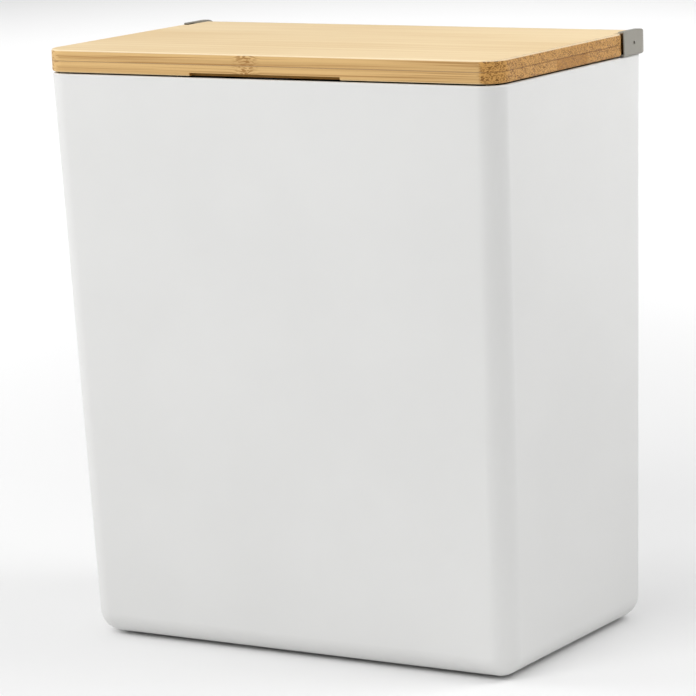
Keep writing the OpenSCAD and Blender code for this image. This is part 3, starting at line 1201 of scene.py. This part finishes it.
@dataclass
class Bucket:
    """The dark bucket that lifts out, with a channel at its front that clears the latch."""

    plan: BinPlan
    finishes: Finishes
    gap: float = 2.5
    back_gap: float = 1.0
    wall: float = 1.8
    drop: float = 5.0
    base_radius: float = 12.0
    rim_radius: float = 19.0
    lip: float = 1.0
    lip_height: float = 3.0
    channel_half: float = 19.0
    channel_gap: float = 2.0
    channel_round: float = 3.0
    channel_room: float = 20.0
    notch_width: float = 64.0
    notch_depth: float = 13.0
    notch_round: float = 6.0
    rib_height: float = 2.0
    sheet: float = 0.001
    rim_ease: float = 0.4

    @property
    def low(self) -> float:
        """Height of the bucket's underside."""
        return self.plan.foot_proud + self.plan.floor + self.rib_height

    @property
    def top(self) -> float:
        """Height of the bucket's rim."""
        return self.plan.rim - self.drop

    def outline(self, name: str, z: float, inset: float, back: float, radius: float) -> Object:
        """Draws the bucket's outline at a height as a flat face."""
        plan = self.plan
        half = plan.half_width(z) - inset
        low, high = (-half, plan.front_at(z) + inset), (half, back)
        return plate(name, low, high, (z, z + self.sheet), radius, segments=12)

    def form(
        self, name: str, inset: float, back: float, low: float, high: float, radius: float
    ) -> Object:
        """Bridges two outlines and rounds the lower edge.

        Args:
            name: The form's name.
            inset: How far it stands in from the body's outside.
            back: The place of its back.
            low: The height of its lower end.
            high: The height of its upper end.
            radius: The radius of its lower edge.

        Returns:
            The closed form.
        """
        rim_radius = self.rim_radius + radius - self.base_radius
        form = join(
            self.outline(name, low, inset, back, radius + 0.8),
            self.outline("upper", high, inset, back, rim_radius),
        )
        with editing(form):
            ends = (low + self.sheet, high + self.sheet)
            pick(form, Kind.VERT, lambda v: any(near(v.co.z, z, self.sheet / 2) for z in ends))
            bpy.ops.mesh.delete(type="VERT")
            bpy.ops.mesh.select_all(action="SELECT")
            bpy.ops.mesh.delete(type="ONLY_FACE")
            bpy.ops.mesh.select_mode(type="EDGE")
            bpy.ops.mesh.select_all(action="SELECT")
            bpy.ops.mesh.bridge_edge_loops()
            for z in (low, high):
                pick(form, Kind.EDGE, lambda e, z=z: is_level(e, z))
                bpy.ops.mesh.edge_face_add()
            face_outwards()
            pick(form, Kind.EDGE, lambda e: is_level(e, low))
            bevel(radius, 8)
        return form

    def channel(self, grow: float) -> Object:
        """Models the channel's shape, grown by a wall's thickness or not."""
        plan = self.plan
        depth = plan.pad_y + plan.latch_depth + self.channel_gap + grow
        half = self.channel_half + grow
        return plate(
            "channel", (-half, plan.front - self.channel_room), (half, depth),
            (0.0, plan.rim + PAST), self.channel_round + grow, segments=6,
        )

    def build(self) -> Object:
        """Models and dresses the bucket."""
        plan = self.plan
        inset = plan.wall + self.gap
        back = plan.ledge_y - self.back_gap
        bucket = self.form("dark_bucket", inset, back, self.low, self.top, self.base_radius)
        lip_low = self.top - self.lip_height
        band = self.outline(
            "lip", lip_low, inset - self.lip, back + self.lip / 2, self.rim_radius + self.lip
        )
        with editing(band):
            pick(band, Kind.FACE, lambda f: f.normal.z > 0.5)
            shift(z=self.lip_height)
        fuse(bucket, band)
        cut(bucket, self.channel(0.0))
        inner = self.form(
            "inner", inset + self.wall, back - self.wall, self.low + self.wall, self.top + PAST,
            self.base_radius - self.wall,
        )
        cut(inner, self.channel(self.wall))
        cut(bucket, inner, self.notches())
        with editing(bucket):
            pick(bucket, Kind.EDGE, lambda e: is_level(e, self.top, 0.05) and is_sharp(e))
            bevel(self.rim_ease, 2)
        return hand_over(
            bucket, self.finishes.bucket, Body.BODY, "inner_bucket"
        )

    def notches(self) -> Object:
        """Models the cutter of the finger notches in both sides of the rim."""
        half, reach = self.notch_width / 2, self.plan.width / 2
        low, high = self.top - self.notch_depth, self.top + self.notch_depth
        return plate("notch", (-half, low), (half, high), (-reach, reach), self.notch_round, Axis.X)


@dataclass
class HingeCaps:
    """The two grey caps on the rear corners, with their screws and pins."""

    plan: BinPlan
    finishes: Finishes
    corner: float = 7.0
    ease: float = 0.4
    low_ease: float = 1.3
    crown_reach: float = 8.8
    crown_fall: float = 6.5
    crown_steps: int = 8
    hollow: Point = (2.5, 5.0, 0.4)
    foot_fall: float = 1.6
    skin: float = 0.8
    slope_gap: float = 0.2
    poke_radius: float = 0.85
    centre_radius: float = 0.9
    pin_radius: float = 1.5
    centre_depth: float = 1.6
    head_radius: float = 2.2
    head_height: float = 1.8
    screw_radius: float = 1.2
    screw_length: float = 11.5
    screw_room: float = 12.0
    head_gap: float = 0.2
    lid_open: float = 105.0
    stop_gap: float = 0.1
    swing_room: float = 0.65

    @property
    def swing(self) -> float:
        """Radius of the hollow that the lid's tail turns in."""
        plan = self.plan
        return math.hypot(plan.lid_back - plan.pivot_y, plan.board) + self.swing_room

    @property
    def stop_z(self) -> float:
        """Height of the lip that stops the open lid."""
        meets = math.acos((self.plan.board + self.stop_gap) / self.swing)
        return self.plan.pivot_z + self.swing * math.sin(meets - math.radians(self.lid_open - 90.0))

    def build(self) -> None:
        """Models and dresses both caps, the screws and the pins."""
        right = self.cap()
        left = mirrored(right, "grey_cap_left")
        for side, cap in ((Side.RIGHT, right), (Side.LEFT, left)):
            hand_over(
                cap, self.finishes.cap, Body.BODY, f"hinge_cap_{side.word}"
            )
            self.pin(side)
        self.screws()

    def cap(self) -> Object:
        """Models the right cap: an ear beside the lid and a foot on the ledge behind it."""
        plan = self.plan
        cap = block(
            "grey_cap_right", (plan.cap_foot_x, plan.ear_front, plan.rim),
            (plan.ear_outside, plan.cap_back, plan.ear_top),
        )
        with editing(cap):
            pick(cap, Kind.EDGE, lambda e: stands_at(e, plan.ear_outside, plan.cap_back))
            bevel(self.corner, 14)
            for z, ease, segments in ((plan.rim, self.low_ease, 5), (plan.ear_top, self.ease, 4)):
                pick(cap, Kind.EDGE, lambda e, z=z: is_sharp(e) and self.is_outline(e, z))
                bevel(ease, segments)
            self.lower_rear(cap)
            bpy.ops.mesh.select_all(action="SELECT")
            bpy.ops.mesh.quads_convert_to_tris()
        axis = (plan.ear_inside - PAST, plan.pivot_y, plan.pivot_z)
        hollows = fuse(
            self.lid_room(), self.foot_room(), self.tail_room(), self.pocket(),
            rod("pin_bore", axis, plan.ear - self.skin + PAST, self.pin_radius, Axis.X),
            rod("poke_hole", axis, plan.ear + 2 * PAST, self.poke_radius, Axis.X, 32),
        )
        y, room = plan.cap_screw_y, self.screw_room
        for x in plan.cap_screw_xs:
            fuse(
                hollows,
                rod("screw_way", (x, y, plan.rim - PAST), room, self.screw_radius),
                rod("screw_seat", (x, y, plan.cap_seat), room, self.head_radius + self.head_gap),
            )
        return cut(cap, hollows)

    def lower_rear(self, cap: Object) -> None:
        """Lowers the cap's top in edit mode, in one long round towards its back."""
        plan = self.plan
        start = plan.cap_back - self.crown_reach
        for step in range(self.crown_steps):
            station = start + self.crown_reach * math.sin(math.pi / 2 * step / self.crown_steps)
            bpy.ops.mesh.select_all(action="SELECT")
            bpy.ops.mesh.bisect(plane_co=(0.0, station * MM, 0.0), plane_no=(0.0, 1.0, 0.0))
        verts = bmesh.from_edit_mesh(cap.data).verts
        stations = sorted({round(v.co.y / MM, 3) for v in verts if v.co.y > (start + 0.01) * MM})
        for station in stations:
            share = min((station - start) / self.crown_reach, 1.0)
            fall = self.crown_fall * (1.0 - math.sqrt(1.0 - share * share))
            pick(cap, Kind.VERT, lambda v, y=station: near(v.co.y, y, 0.0006))
            stretch(1.0, 1.0, 1.0 - fall / (plan.ear_top - plan.rim), (0.0, 0.0, plan.rim))

    def is_outline(self, edge: Edge, z: float) -> bool:
        """Whether an edge of the cap's block runs round it at a height, or up its front."""
        plan = self.plan
        at_inner = all(near(v.co.x, plan.cap_foot_x) for v in edge.verts)
        front_post = z == plan.ear_top and stands_at(edge, plan.ear_outside, plan.ear_front)
        return (is_level(edge, z) and not at_inner) or front_post

    def pocket(self) -> Object:
        """Models the hollow in the ear's front, which keeps its outer wall thin."""
        plan = self.plan
        wide, deep, skin = self.hollow
        return block(
            "pocket", (plan.ear_inside - PAST, plan.ear_front - PAST, plan.rim + 3.0 * skin),
            (plan.ear_inside + wide, plan.ear_front + deep, plan.ear_top - skin),
        )

    def lid_room(self) -> Object:
        """Models the room beside the ear, where the lid's tail lies."""
        plan = self.plan
        return block(
            "lid_room", (plan.cap_foot_x - PAST, plan.ear_front - PAST, plan.rim - PAST),
            (plan.ear_inside, plan.ledge_y + self.slope_gap, plan.ear_top + PAST),
        )

    def foot_room(self) -> Object:
        """Models the wedge above the foot, whose lower face slopes down to the back."""
        plan = self.plan
        fall_y, low, past = plan.ledge_y + self.slope_gap, self.stop_z, 2 * PAST
        wedge = block(
            "foot_room", (plan.cap_foot_x - PAST, fall_y, low),
            (plan.ear_inside, plan.cap_back, plan.ear_top + PAST),
        )
        with editing(wedge):
            pick(wedge, Kind.VERT, lambda v: near(v.co.z, low) and not near(v.co.y, fall_y))
            shift(z=-self.foot_fall)
            pick(wedge, Kind.FACE, lambda f: f.normal.y > 0.9)
            slope = self.foot_fall / (plan.cap_back - fall_y)
            extrude(y=past, z=-past * slope)
            pick(wedge, Kind.FACE, lambda f: f.normal.y < -0.9)
            extrude(y=-past)
        return wedge

    def tail_room(self) -> Object:
        """Models the hollow that the lid's tail turns in."""
        plan = self.plan
        return rod(
            "tail_room", (plan.cap_foot_x - PAST, plan.pivot_y, plan.pivot_z),
            plan.cap_foot + PAST, self.swing, Axis.X, 128,
        )

    def pin(self, side: Side) -> Object:
        """Models one hinge pin with chamfered ends and a centre hole in each."""
        low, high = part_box(f"hinge_pin_{side.word}")
        length, r, ease = (high.x - low.x) / MM, self.pin_radius, 0.25
        rings = [(r - ease, 0.0), (r, ease), (r, length - ease), (r - ease, length)]
        start = (low.x / MM, self.plan.pivot_y, self.plan.pivot_z)
        pin = turned(f"pin_{side.word}", start, rings, Axis.X)
        depth, radius = self.centre_depth, self.centre_radius
        for end in (start[0] - PAST, start[0] + length - depth):
            centre = (end, start[1], start[2])
            cut(pin, rod("centre_hole", centre, depth + PAST, radius, Axis.X, 32))
        return hand_over(pin, self.finishes.steel, Body.BODY, f"hinge_pin_{side.word}")

    def screws(self) -> Object:
        """Models one cap screw and copies it to the four places."""
        plan = self.plan
        xs = [side.value * x for side in Side for x in plan.cap_screw_xs]
        spots = [(x, plan.cap_screw_y, plan.cap_seat) for x in xs]
        screw = PanScrew(self.screw_radius, self.screw_length, self.head_radius, self.head_height)
        made = join(*[screw.build("cap_screws", spot, Axis.Z) for spot in spots])
        return hand_over(made, self.finishes.steel, Body.BODY, "hinge_cap_screws")


@dataclass(frozen=True)
class PanScrew:
    """A thread-forming screw with a domed head and a cross recess."""

    radius: float
    length: float
    head_radius: float
    head_height: float

    def build(self, name: str, seat: Point, axis: Axis) -> Object:
        """Models the screw with its head on the far side of its seat.

        Args:
            name: The object's name.
            seat: The centre of the seat under its head.
            axis: The way its head faces.

        Returns:
            The screw.
        """
        r, rh, h = self.radius, self.head_radius, self.head_height
        rings = [
            (r * 0.45, -self.length), (r * 0.85, -self.length + 1.0), (r, -self.length + 1.6),
            (r, 0.0), (rh - 0.1, 0.0), (rh, 0.15), (rh, h * 0.45), (rh * 0.93, h * 0.75),
            (rh * 0.72, h * 0.94), (rh * 0.4, h),
        ]
        screw = turned(name, (0.0, 0.0, 0.0), rings)
        arm, slot, floor = rh * 0.62, rh * 0.15, h * 0.42
        across = block("slot", (-arm, -slot, floor), (arm, slot, h + PAST))
        along = block("slot", (-slot, -arm, floor), (slot, arm, h + PAST))
        cut(screw, across, along)
        screw.matrix_world = Matrix.Translation(Vector(seat) * MM) @ AXIS_TURN[axis]
        return settle(screw)


@dataclass
class Lid:
    """The two glued bamboo boards with their bushes, finger grip and strike plate."""

    plan: BinPlan
    finishes: Finishes
    corner: float = 10.9
    ease: float = 1.0
    joint_ease: float = 0.12
    tail_corner: float = 0.6
    bush_radius: float = 2.95
    bush_length: float = 8.0
    bush_bore: float = 1.55
    flange: float = 1.2
    grip_width: float = 79.8
    grip_height: float = 1.5
    grip_depth: float = 3.0
    grip_middle: float = 0.9
    strike: Point = (24.0, 11.0, 1.0)
    strike_radius: float = 2.0
    strike_screw_x: float = 8.5
    strike_screw_radius: float = 1.1
    strike_head_radius: float = 1.9
    strike_screw_length: float = 4.4
    slot_arms: Range = (1.178, 0.26)
    slot_depth: float = 0.55

    def build(self) -> None:
        """Models and dresses the boards and what is fixed to them."""
        plan = self.plan
        upper = self.board("top_board", plan.pivot_z, plan.lid_top)
        cut(upper, *self.bush_cutters())
        hand_over(upper, self.finishes.top_board, Body.LID, "lid_upper_board")
        under = self.board("under_board", plan.pivot_z, plan.lid_under)
        cut(under, self.grip(), *self.bush_cutters())
        length, radius = self.strike_screw_length, self.strike_screw_radius
        for side in Side:
            start = (side.value * self.strike_screw_x, plan.latch_y, plan.lid_under - PAST)
            cut(under, rod("pilot", start, length, radius, sides=24))
        hand_over(under, self.finishes.under_board, Body.LID, "lid_lower_board")
        self.bushes()
        self.strike_plate()

    def board(self, name: str, joint: float, outer: float) -> Object:
        """Models one board, a wide front part with a narrower tail.

        Args:
            name: The board's name.
            joint: The height of its glued face.
            outer: The height of its outer face.

        Returns:
            The board, with its outer edges eased.
        """
        plan = self.plan
        half, front = plan.width / 2 + plan.lid_over, plan.front - plan.lid_over
        low, high = sorted((joint, outer))
        board = block(name, (-half, front, low), (half, plan.lid_back, high))
        for side in Side:
            x_from, x_to = sorted((side.value * plan.shoulder_x, side.value * (half + PAST)))
            cut(board, block(
                "shoulder", (x_from, plan.shoulder_y, low - PAST),
                (x_to, plan.lid_back + PAST, high + PAST),
            ))
        with editing(board):
            pick(board, Kind.EDGE, lambda e: stands_at(e, half, front))
            bevel(self.corner, 14)
            pick(board, Kind.EDGE, lambda e: stands_at(e, plan.shoulder_x, plan.lid_back))
            bevel(self.tail_corner, 3)
            pick(board, Kind.EDGE, lambda e: is_level(e, outer) and is_sharp(e))
            bevel(self.ease, 4)
            pick(board, Kind.EDGE, lambda e: is_level(e, joint) and is_sharp(e))
            bevel(self.joint_ease, 1)
        return board

    def bush_cutters(self) -> list[Object]:
        """Models the cutters of the two bush holes."""
        plan = self.plan
        starts = (-plan.shoulder_x - PAST, plan.shoulder_x - self.bush_length)
        return [
            rod(
                "bush_hole", (start, plan.pivot_y, plan.pivot_z), self.bush_length + PAST,
                self.bush_radius, Axis.X,
            )
            for start in starts
        ]

    def grip(self) -> Object:
        """Models the cutter of the finger grip under the front edge."""
        plan = self.plan
        front = plan.front - plan.lid_over
        left = self.grip_middle - self.grip_width / 2
        return block(
            "grip", (left, front - PAST, plan.lid_under - PAST),
            (left + self.grip_width, front + self.grip_depth, plan.lid_under + self.grip_height),
        )

    def bushes(self) -> None:
        """Models a flanged bush and its mirror image."""
        plan = self.plan
        low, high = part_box("lid_bush_right")
        reach = (high.x - low.x) / MM
        length, r = self.bush_length, self.bush_radius
        rings = [
            (r - 0.2, 0.0), (r, 0.2), (r, length), (r + self.flange, length),
            (r + self.flange, reach - 0.1), (r + self.flange - 0.1, reach),
        ]
        start = (low.x / MM, plan.pivot_y, plan.pivot_z)
        right = turned("bush_right", start, rings, Axis.X)
        bore_start = (start[0] - PAST, start[1], start[2])
        cut(right, rod("bore", bore_start, reach + 2 * PAST, self.bush_bore, Axis.X))
        left = mirrored(right, "bush_left")
        for side, bush in ((Side.RIGHT, right), (Side.LEFT, left)):
            hand_over(bush, self.finishes.nylon, Body.LID, f"lid_bush_{side.word}")

    def strike_plate(self) -> None:
        """Models the steel plate that the magnet pulls, and its two flush screws."""
        plan = self.plan
        wide, deep, thick = self.strike
        low = plan.lid_under - thick
        steel = plate(
            "strike", (-wide / 2, plan.latch_y - deep / 2), (wide / 2, plan.latch_y + deep / 2),
            (low, plan.lid_under), self.strike_radius,
        )
        soften(steel, 0.12)
        screws = []
        for side in Side:
            spot = (side.value * self.strike_screw_x, plan.latch_y, low)
            r, rh = self.strike_screw_radius, self.strike_head_radius
            head = [(rh, 0.0), (r, thick)]
            cut(steel, turned("sink", spot, [(rh, -0.001), *head, (r, thick + PAST)]))
            reach = self.strike_screw_length - 0.3
            screw = turned("strike_plate_screws", spot, [*head, (r, reach - 0.6), (r * 0.5, reach)])
            x, y, floor = spot[0], spot[1], low + self.slot_depth
            for wide_x, wide_y in (self.slot_arms, self.slot_arms[::-1]):
                cut(screw, block(
                    "slot", (x - wide_x, y - wide_y, low - PAST), (x + wide_x, y + wide_y, floor)
                ))
            screws.append(screw)
        hand_over(steel, self.finishes.black_steel, Body.LID, "strike_plate")
        hand_over(join(*screws), self.finishes.black_steel, Body.LID, "strike_screws")


@dataclass
class Latch:
    """The sprung magnetic latch on the pad inside the front wall."""

    plan: BinPlan
    finishes: Finishes
    width: float = 15.0
    flap_width: float = 7.5
    flap_thick: float = 2.6
    flap_height: float = 12.0
    flap_drop: float = 16.0
    plunger_radius: float = 4.0
    neck_radius: float = 3.4
    collar: float = 3.0
    clear: float = 0.05
    plunger_length: float = 16.0
    travel: float = 1.2
    tip: float = 270.15
    magnet_radius: float = 2.3
    magnet_thick: float = 3.0
    plug_thick: float = 3.0
    plug_rim: float = 1.0
    post_radius: float = 2.2
    screw_radius: float = 1.1
    screw_head_radius: float = 2.0
    screw_head_height: float = 1.5
    screw_length: float = 5.3
    screw_room: float = 5.0
    case_corner: float = 1.5
    case_ease: float = 0.3
    flap_corner: float = 2.0
    wire: float = 0.7
    wire_sides: int = 10
    turns: int = 7
    turn_steps: int = 28
    coil_gap: float = 0.15

    @property
    def plunger_top(self) -> float:
        """Height of the plunger's shoulder under the collar."""
        return self.plan.latch_top - self.collar - self.clear

    @property
    def plunger_low(self) -> float:
        """Height of the plunger's foot."""
        return self.plunger_top - self.plunger_length

    def build(self) -> None:
        """Models and dresses the latch's pieces."""
        self.housing()
        self.end_plug()
        self.plunger()
        self.spring()

    def housing(self) -> None:
        """Models the housing with its screw flaps, and the two screws."""
        plan = self.plan
        half, y0 = self.width / 2, plan.pad_y
        housing = plate(
            "latch_case", (-half, y0), (half, y0 + plan.latch_depth),
            (plan.latch_low, plan.latch_top), self.case_corner,
        )
        reach = half + self.flap_width
        flap_low = plan.latch_top - self.flap_drop
        flaps = plate(
            "flaps", (flap_low, -reach), (flap_low + self.flap_height, reach),
            (y0, y0 + self.flap_thick), self.flap_corner, Axis.Y,
        )
        fuse(housing, flaps)
        soften(housing, self.case_ease, 3, 50.0)
        low, height, y = plan.latch_low, plan.latch_height, plan.latch_y
        bore, neck = self.plunger_radius + self.clear, self.neck_radius + self.clear
        cut(
            housing,
            rod("bore", (0.0, y, low - PAST), height - self.collar + PAST, bore),
            rod("neck", (0.0, y, low), height + PAST, neck),
        )
        r, screw_z = self.screw_radius, flap_low + self.flap_height / 2
        screw = PanScrew(r, self.screw_length, self.screw_head_radius, self.screw_head_height)
        screws = []
        for side in Side:
            x = side.value * (half + self.flap_width / 2)
            cut(housing, rod("hole", (x, y0 - PAST, screw_z), self.screw_room, r, Axis.Y, 24))
            seat = (x, y0 + self.flap_thick, screw_z)
            screws.append(screw.build("latch_case_screws", seat, Axis.Y))
        hand_over(housing, self.finishes.latch, Body.BODY, "latch_housing")
        hand_over(join(*screws), self.finishes.steel, Body.BODY, "latch_screws")

    def end_plug(self) -> None:
        """Models the plug that closes the housing's foot, with the post that stops the plunger."""
        plan = self.plan
        rim, r = self.plunger_radius + 1.0, self.plunger_radius + self.clear
        top = self.plunger_low - self.travel - self.clear - plan.latch_low
        post, thick, under = self.post_radius, self.plug_thick, -self.plug_rim
        rings = [
            (rim - 0.2, under), (rim, 0.2 + under), (rim, 0.0), (r, 0.0), (r, thick),
            (post, thick), (post, top - 0.2), (post - 0.2, top),
        ]
        plug = turned("latch_plug", (0.0, plan.latch_y, plan.latch_low), rings)
        hand_over(plug, self.finishes.latch, Body.BODY, "latch_end_plug")

    def plunger(self) -> None:
        """Models the plunger with the magnet in its tip."""
        plan = self.plan
        low, length, thick = self.plunger_low, self.plunger_length, self.magnet_thick
        r, neck, seat = self.plunger_radius, self.neck_radius, self.magnet_radius
        tip = self.tip - low
        rings = [
            (r - 0.2, 0.0), (r, 0.2), (r, length - 0.2), (r - 0.2, length), (neck, length),
            (neck, tip - 0.25), (neck - 0.25, tip), (seat, tip), (seat, tip - thick),
        ]
        plunger = turned("push_plunger", (0.0, plan.latch_y, low), rings)
        hand_over(plunger, self.finishes.latch, Body.PLUNGER, "latch_plunger")
        ease = 0.15
        rings = [(seat, 0.0), (seat, thick - ease), (seat - ease, thick)]
        magnet = turned("tip_magnet", (0.0, plan.latch_y, self.tip - thick), rings)
        hand_over(magnet, self.finishes.magnet, Body.PLUNGER, "latch_magnet")

    def spring(self) -> None:
        """Models the coil spring by screwing a ring of wire up its axis."""
        plan = self.plan
        low, high = (corner.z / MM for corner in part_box("latch_spring"))
        coil = self.plunger_radius - self.clear - self.wire / 2 - self.coil_gap
        drop_selection()
        bpy.ops.mesh.primitive_circle_add(
            vertices=self.wire_sides, radius=self.wire / 2 * MM,
            location=(coil * MM, 0.0, 0.0), rotation=(math.pi / 2, 0.0, 0.0),
        )
        spring = settle(bpy.context.object)
        spring.name = "coil_spring"
        rise = (high - low - self.wire) / self.turns
        apply_modifier(
            spring, "SCREW", angle=math.tau, screw_offset=rise * MM, iterations=self.turns,
            steps=self.turn_steps, render_steps=self.turn_steps, axis="Z",
            use_merge_vertices=False,
        )
        with editing(spring):
            bpy.ops.mesh.fill_holes(sides=0)
            face_outwards()
        spring.location = (0.0, plan.latch_y * MM, (low + self.wire / 2) * MM)
        settle(spring)
        hand_over(spring, self.finishes.spring, Body.BODY, "latch_spring")
        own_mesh(spring)


# Studio


@dataclass(frozen=True)
class Lamp:
    """A soft square light that faces a point."""

    name: str
    place: Point
    aim: Point
    size: float
    power: float
    spread: float = 180.0

    def build(self) -> None:
        """Adds the light."""
        light = bpy.data.lights.new(self.name, "AREA")
        light.shape = "SQUARE"
        light.size = self.size * MM
        light.energy = self.power
        light.spread = math.radians(self.spread)
        holder = bpy.data.objects.new(self.name, light)
        bpy.context.scene.collection.objects.link(holder)
        holder.location = Vector(self.place) * MM
        towards = (Vector(self.aim) - Vector(self.place)).normalized()
        holder.rotation_mode = "QUATERNION"
        holder.rotation_quaternion = towards.to_track_quat("-Z", "Y")


@dataclass
class Studio:
    """The floor, the soft lights and the camera at the photograph's angle."""

    finishes: Finishes
    camera_place: Point = (886.5, -1472.5, 447.4)
    camera_aim: Point = (-0.97, -4.99, 136.90)
    camera_roll: float = -2.0027
    lens: float = 191.32
    sensor: float = 36.0
    floor_reach: float = 24000.0
    sky: float = 0.58

    def build(self) -> None:
        """Sets up the whole studio."""
        self.camera()
        self.floor()
        self.lamps()

    def camera(self) -> None:
        """Adds the camera, turned about its own line of sight by the photograph's roll."""
        data = bpy.data.cameras.new("camera")
        data.lens, data.sensor_width = self.lens, self.sensor
        data.clip_start, data.clip_end = 0.05, 50.0
        camera = bpy.data.objects.new("camera", data)
        bpy.context.scene.collection.objects.link(camera)
        sight = (Vector(self.camera_aim) - Vector(self.camera_place)).normalized()
        right = sight.cross(Vector((0.0, 0.0, 1.0))).normalized()
        upward = right.cross(sight)
        turn = math.radians(self.camera_roll)
        side = right * math.cos(turn) + upward * math.sin(turn)
        head = upward * math.cos(turn) - right * math.sin(turn)
        facing = Matrix((side, head, -sight)).transposed().to_quaternion()
        place = Vector(self.camera_place) * MM
        camera.matrix_world = Matrix.LocRotScale(place, facing, None)
        bpy.context.scene.camera = camera

    def floor(self) -> None:
        """Adds the pale floor."""
        drop_selection()
        bpy.ops.mesh.primitive_plane_add(size=self.floor_reach * MM, location=(0.0, 0.0, 0.0))
        floor = bpy.context.object
        floor.name = "floor"
        floor.data.materials.append(self.finishes.floor)

    def lamps(self) -> None:
        """Adds the soft lights and the even light of the room."""
        bin_middle = (0.0, 0.0, 200.0)
        for name, place, size, power in (
            ("front_light", (-100.0, -900.0, 900.0), 600.0, 4.69),
            ("left_light", (-1500.0, -500.0, 900.0), 900.0, 9.4),
            ("right_light", (600.0, 250.0, 750.0), 500.0, 2.55),
            ("right_rear_light", (1200.0, 900.0, 900.0), 800.0, 1.5),
        ):
            Lamp(name, place, bin_middle, size, power).build()
        for name, place, size, power, spread in (
            ("backdrop_light", (-1300.0, 2200.0, 1500.0), 2200.0, 12.0, 100.0),
            ("backdrop_left_light", (-1500.0, 500.0, 1300.0), 1200.0, 4.2, 90.0),
            ("backdrop_right_light", (700.0, 1900.0, 1300.0), 1200.0, 21.0, 90.0),
        ):
            Lamp(name, place, (place[0], place[1], 0.0), size, power, spread).build()
        world = bpy.data.worlds.new("room")
        world.use_nodes = True
        background = world.node_tree.nodes["Background"]
        background.inputs["Color"].default_value = (1.0, 1.0, 1.0, 1.0)
        background.inputs["Strength"].default_value = self.sky
        bpy.context.scene.world = world
        bpy.context.scene.view_settings.view_transform = "Standard"


def main() -> None:
    """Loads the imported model, builds each sub-assembly in order and sets up the studio."""
    logging.basicConfig(level=logging.INFO, format="%(name)s: %(message)s")
    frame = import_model()
    LOG.info("the packed model has %d nodes", len(frame["nodes"]))
    drop_selection()
    plan = BinPlan()
    finishes = Finishes(plan)
    BodyShell(plan, finishes).build()
    Bucket(plan, finishes).build()
    HingeCaps(plan, finishes).build()
    Lid(plan, finishes).build()
    Latch(plan, finishes).build()
    Studio(finishes).build()


if __name__ == "__main__":
    main()
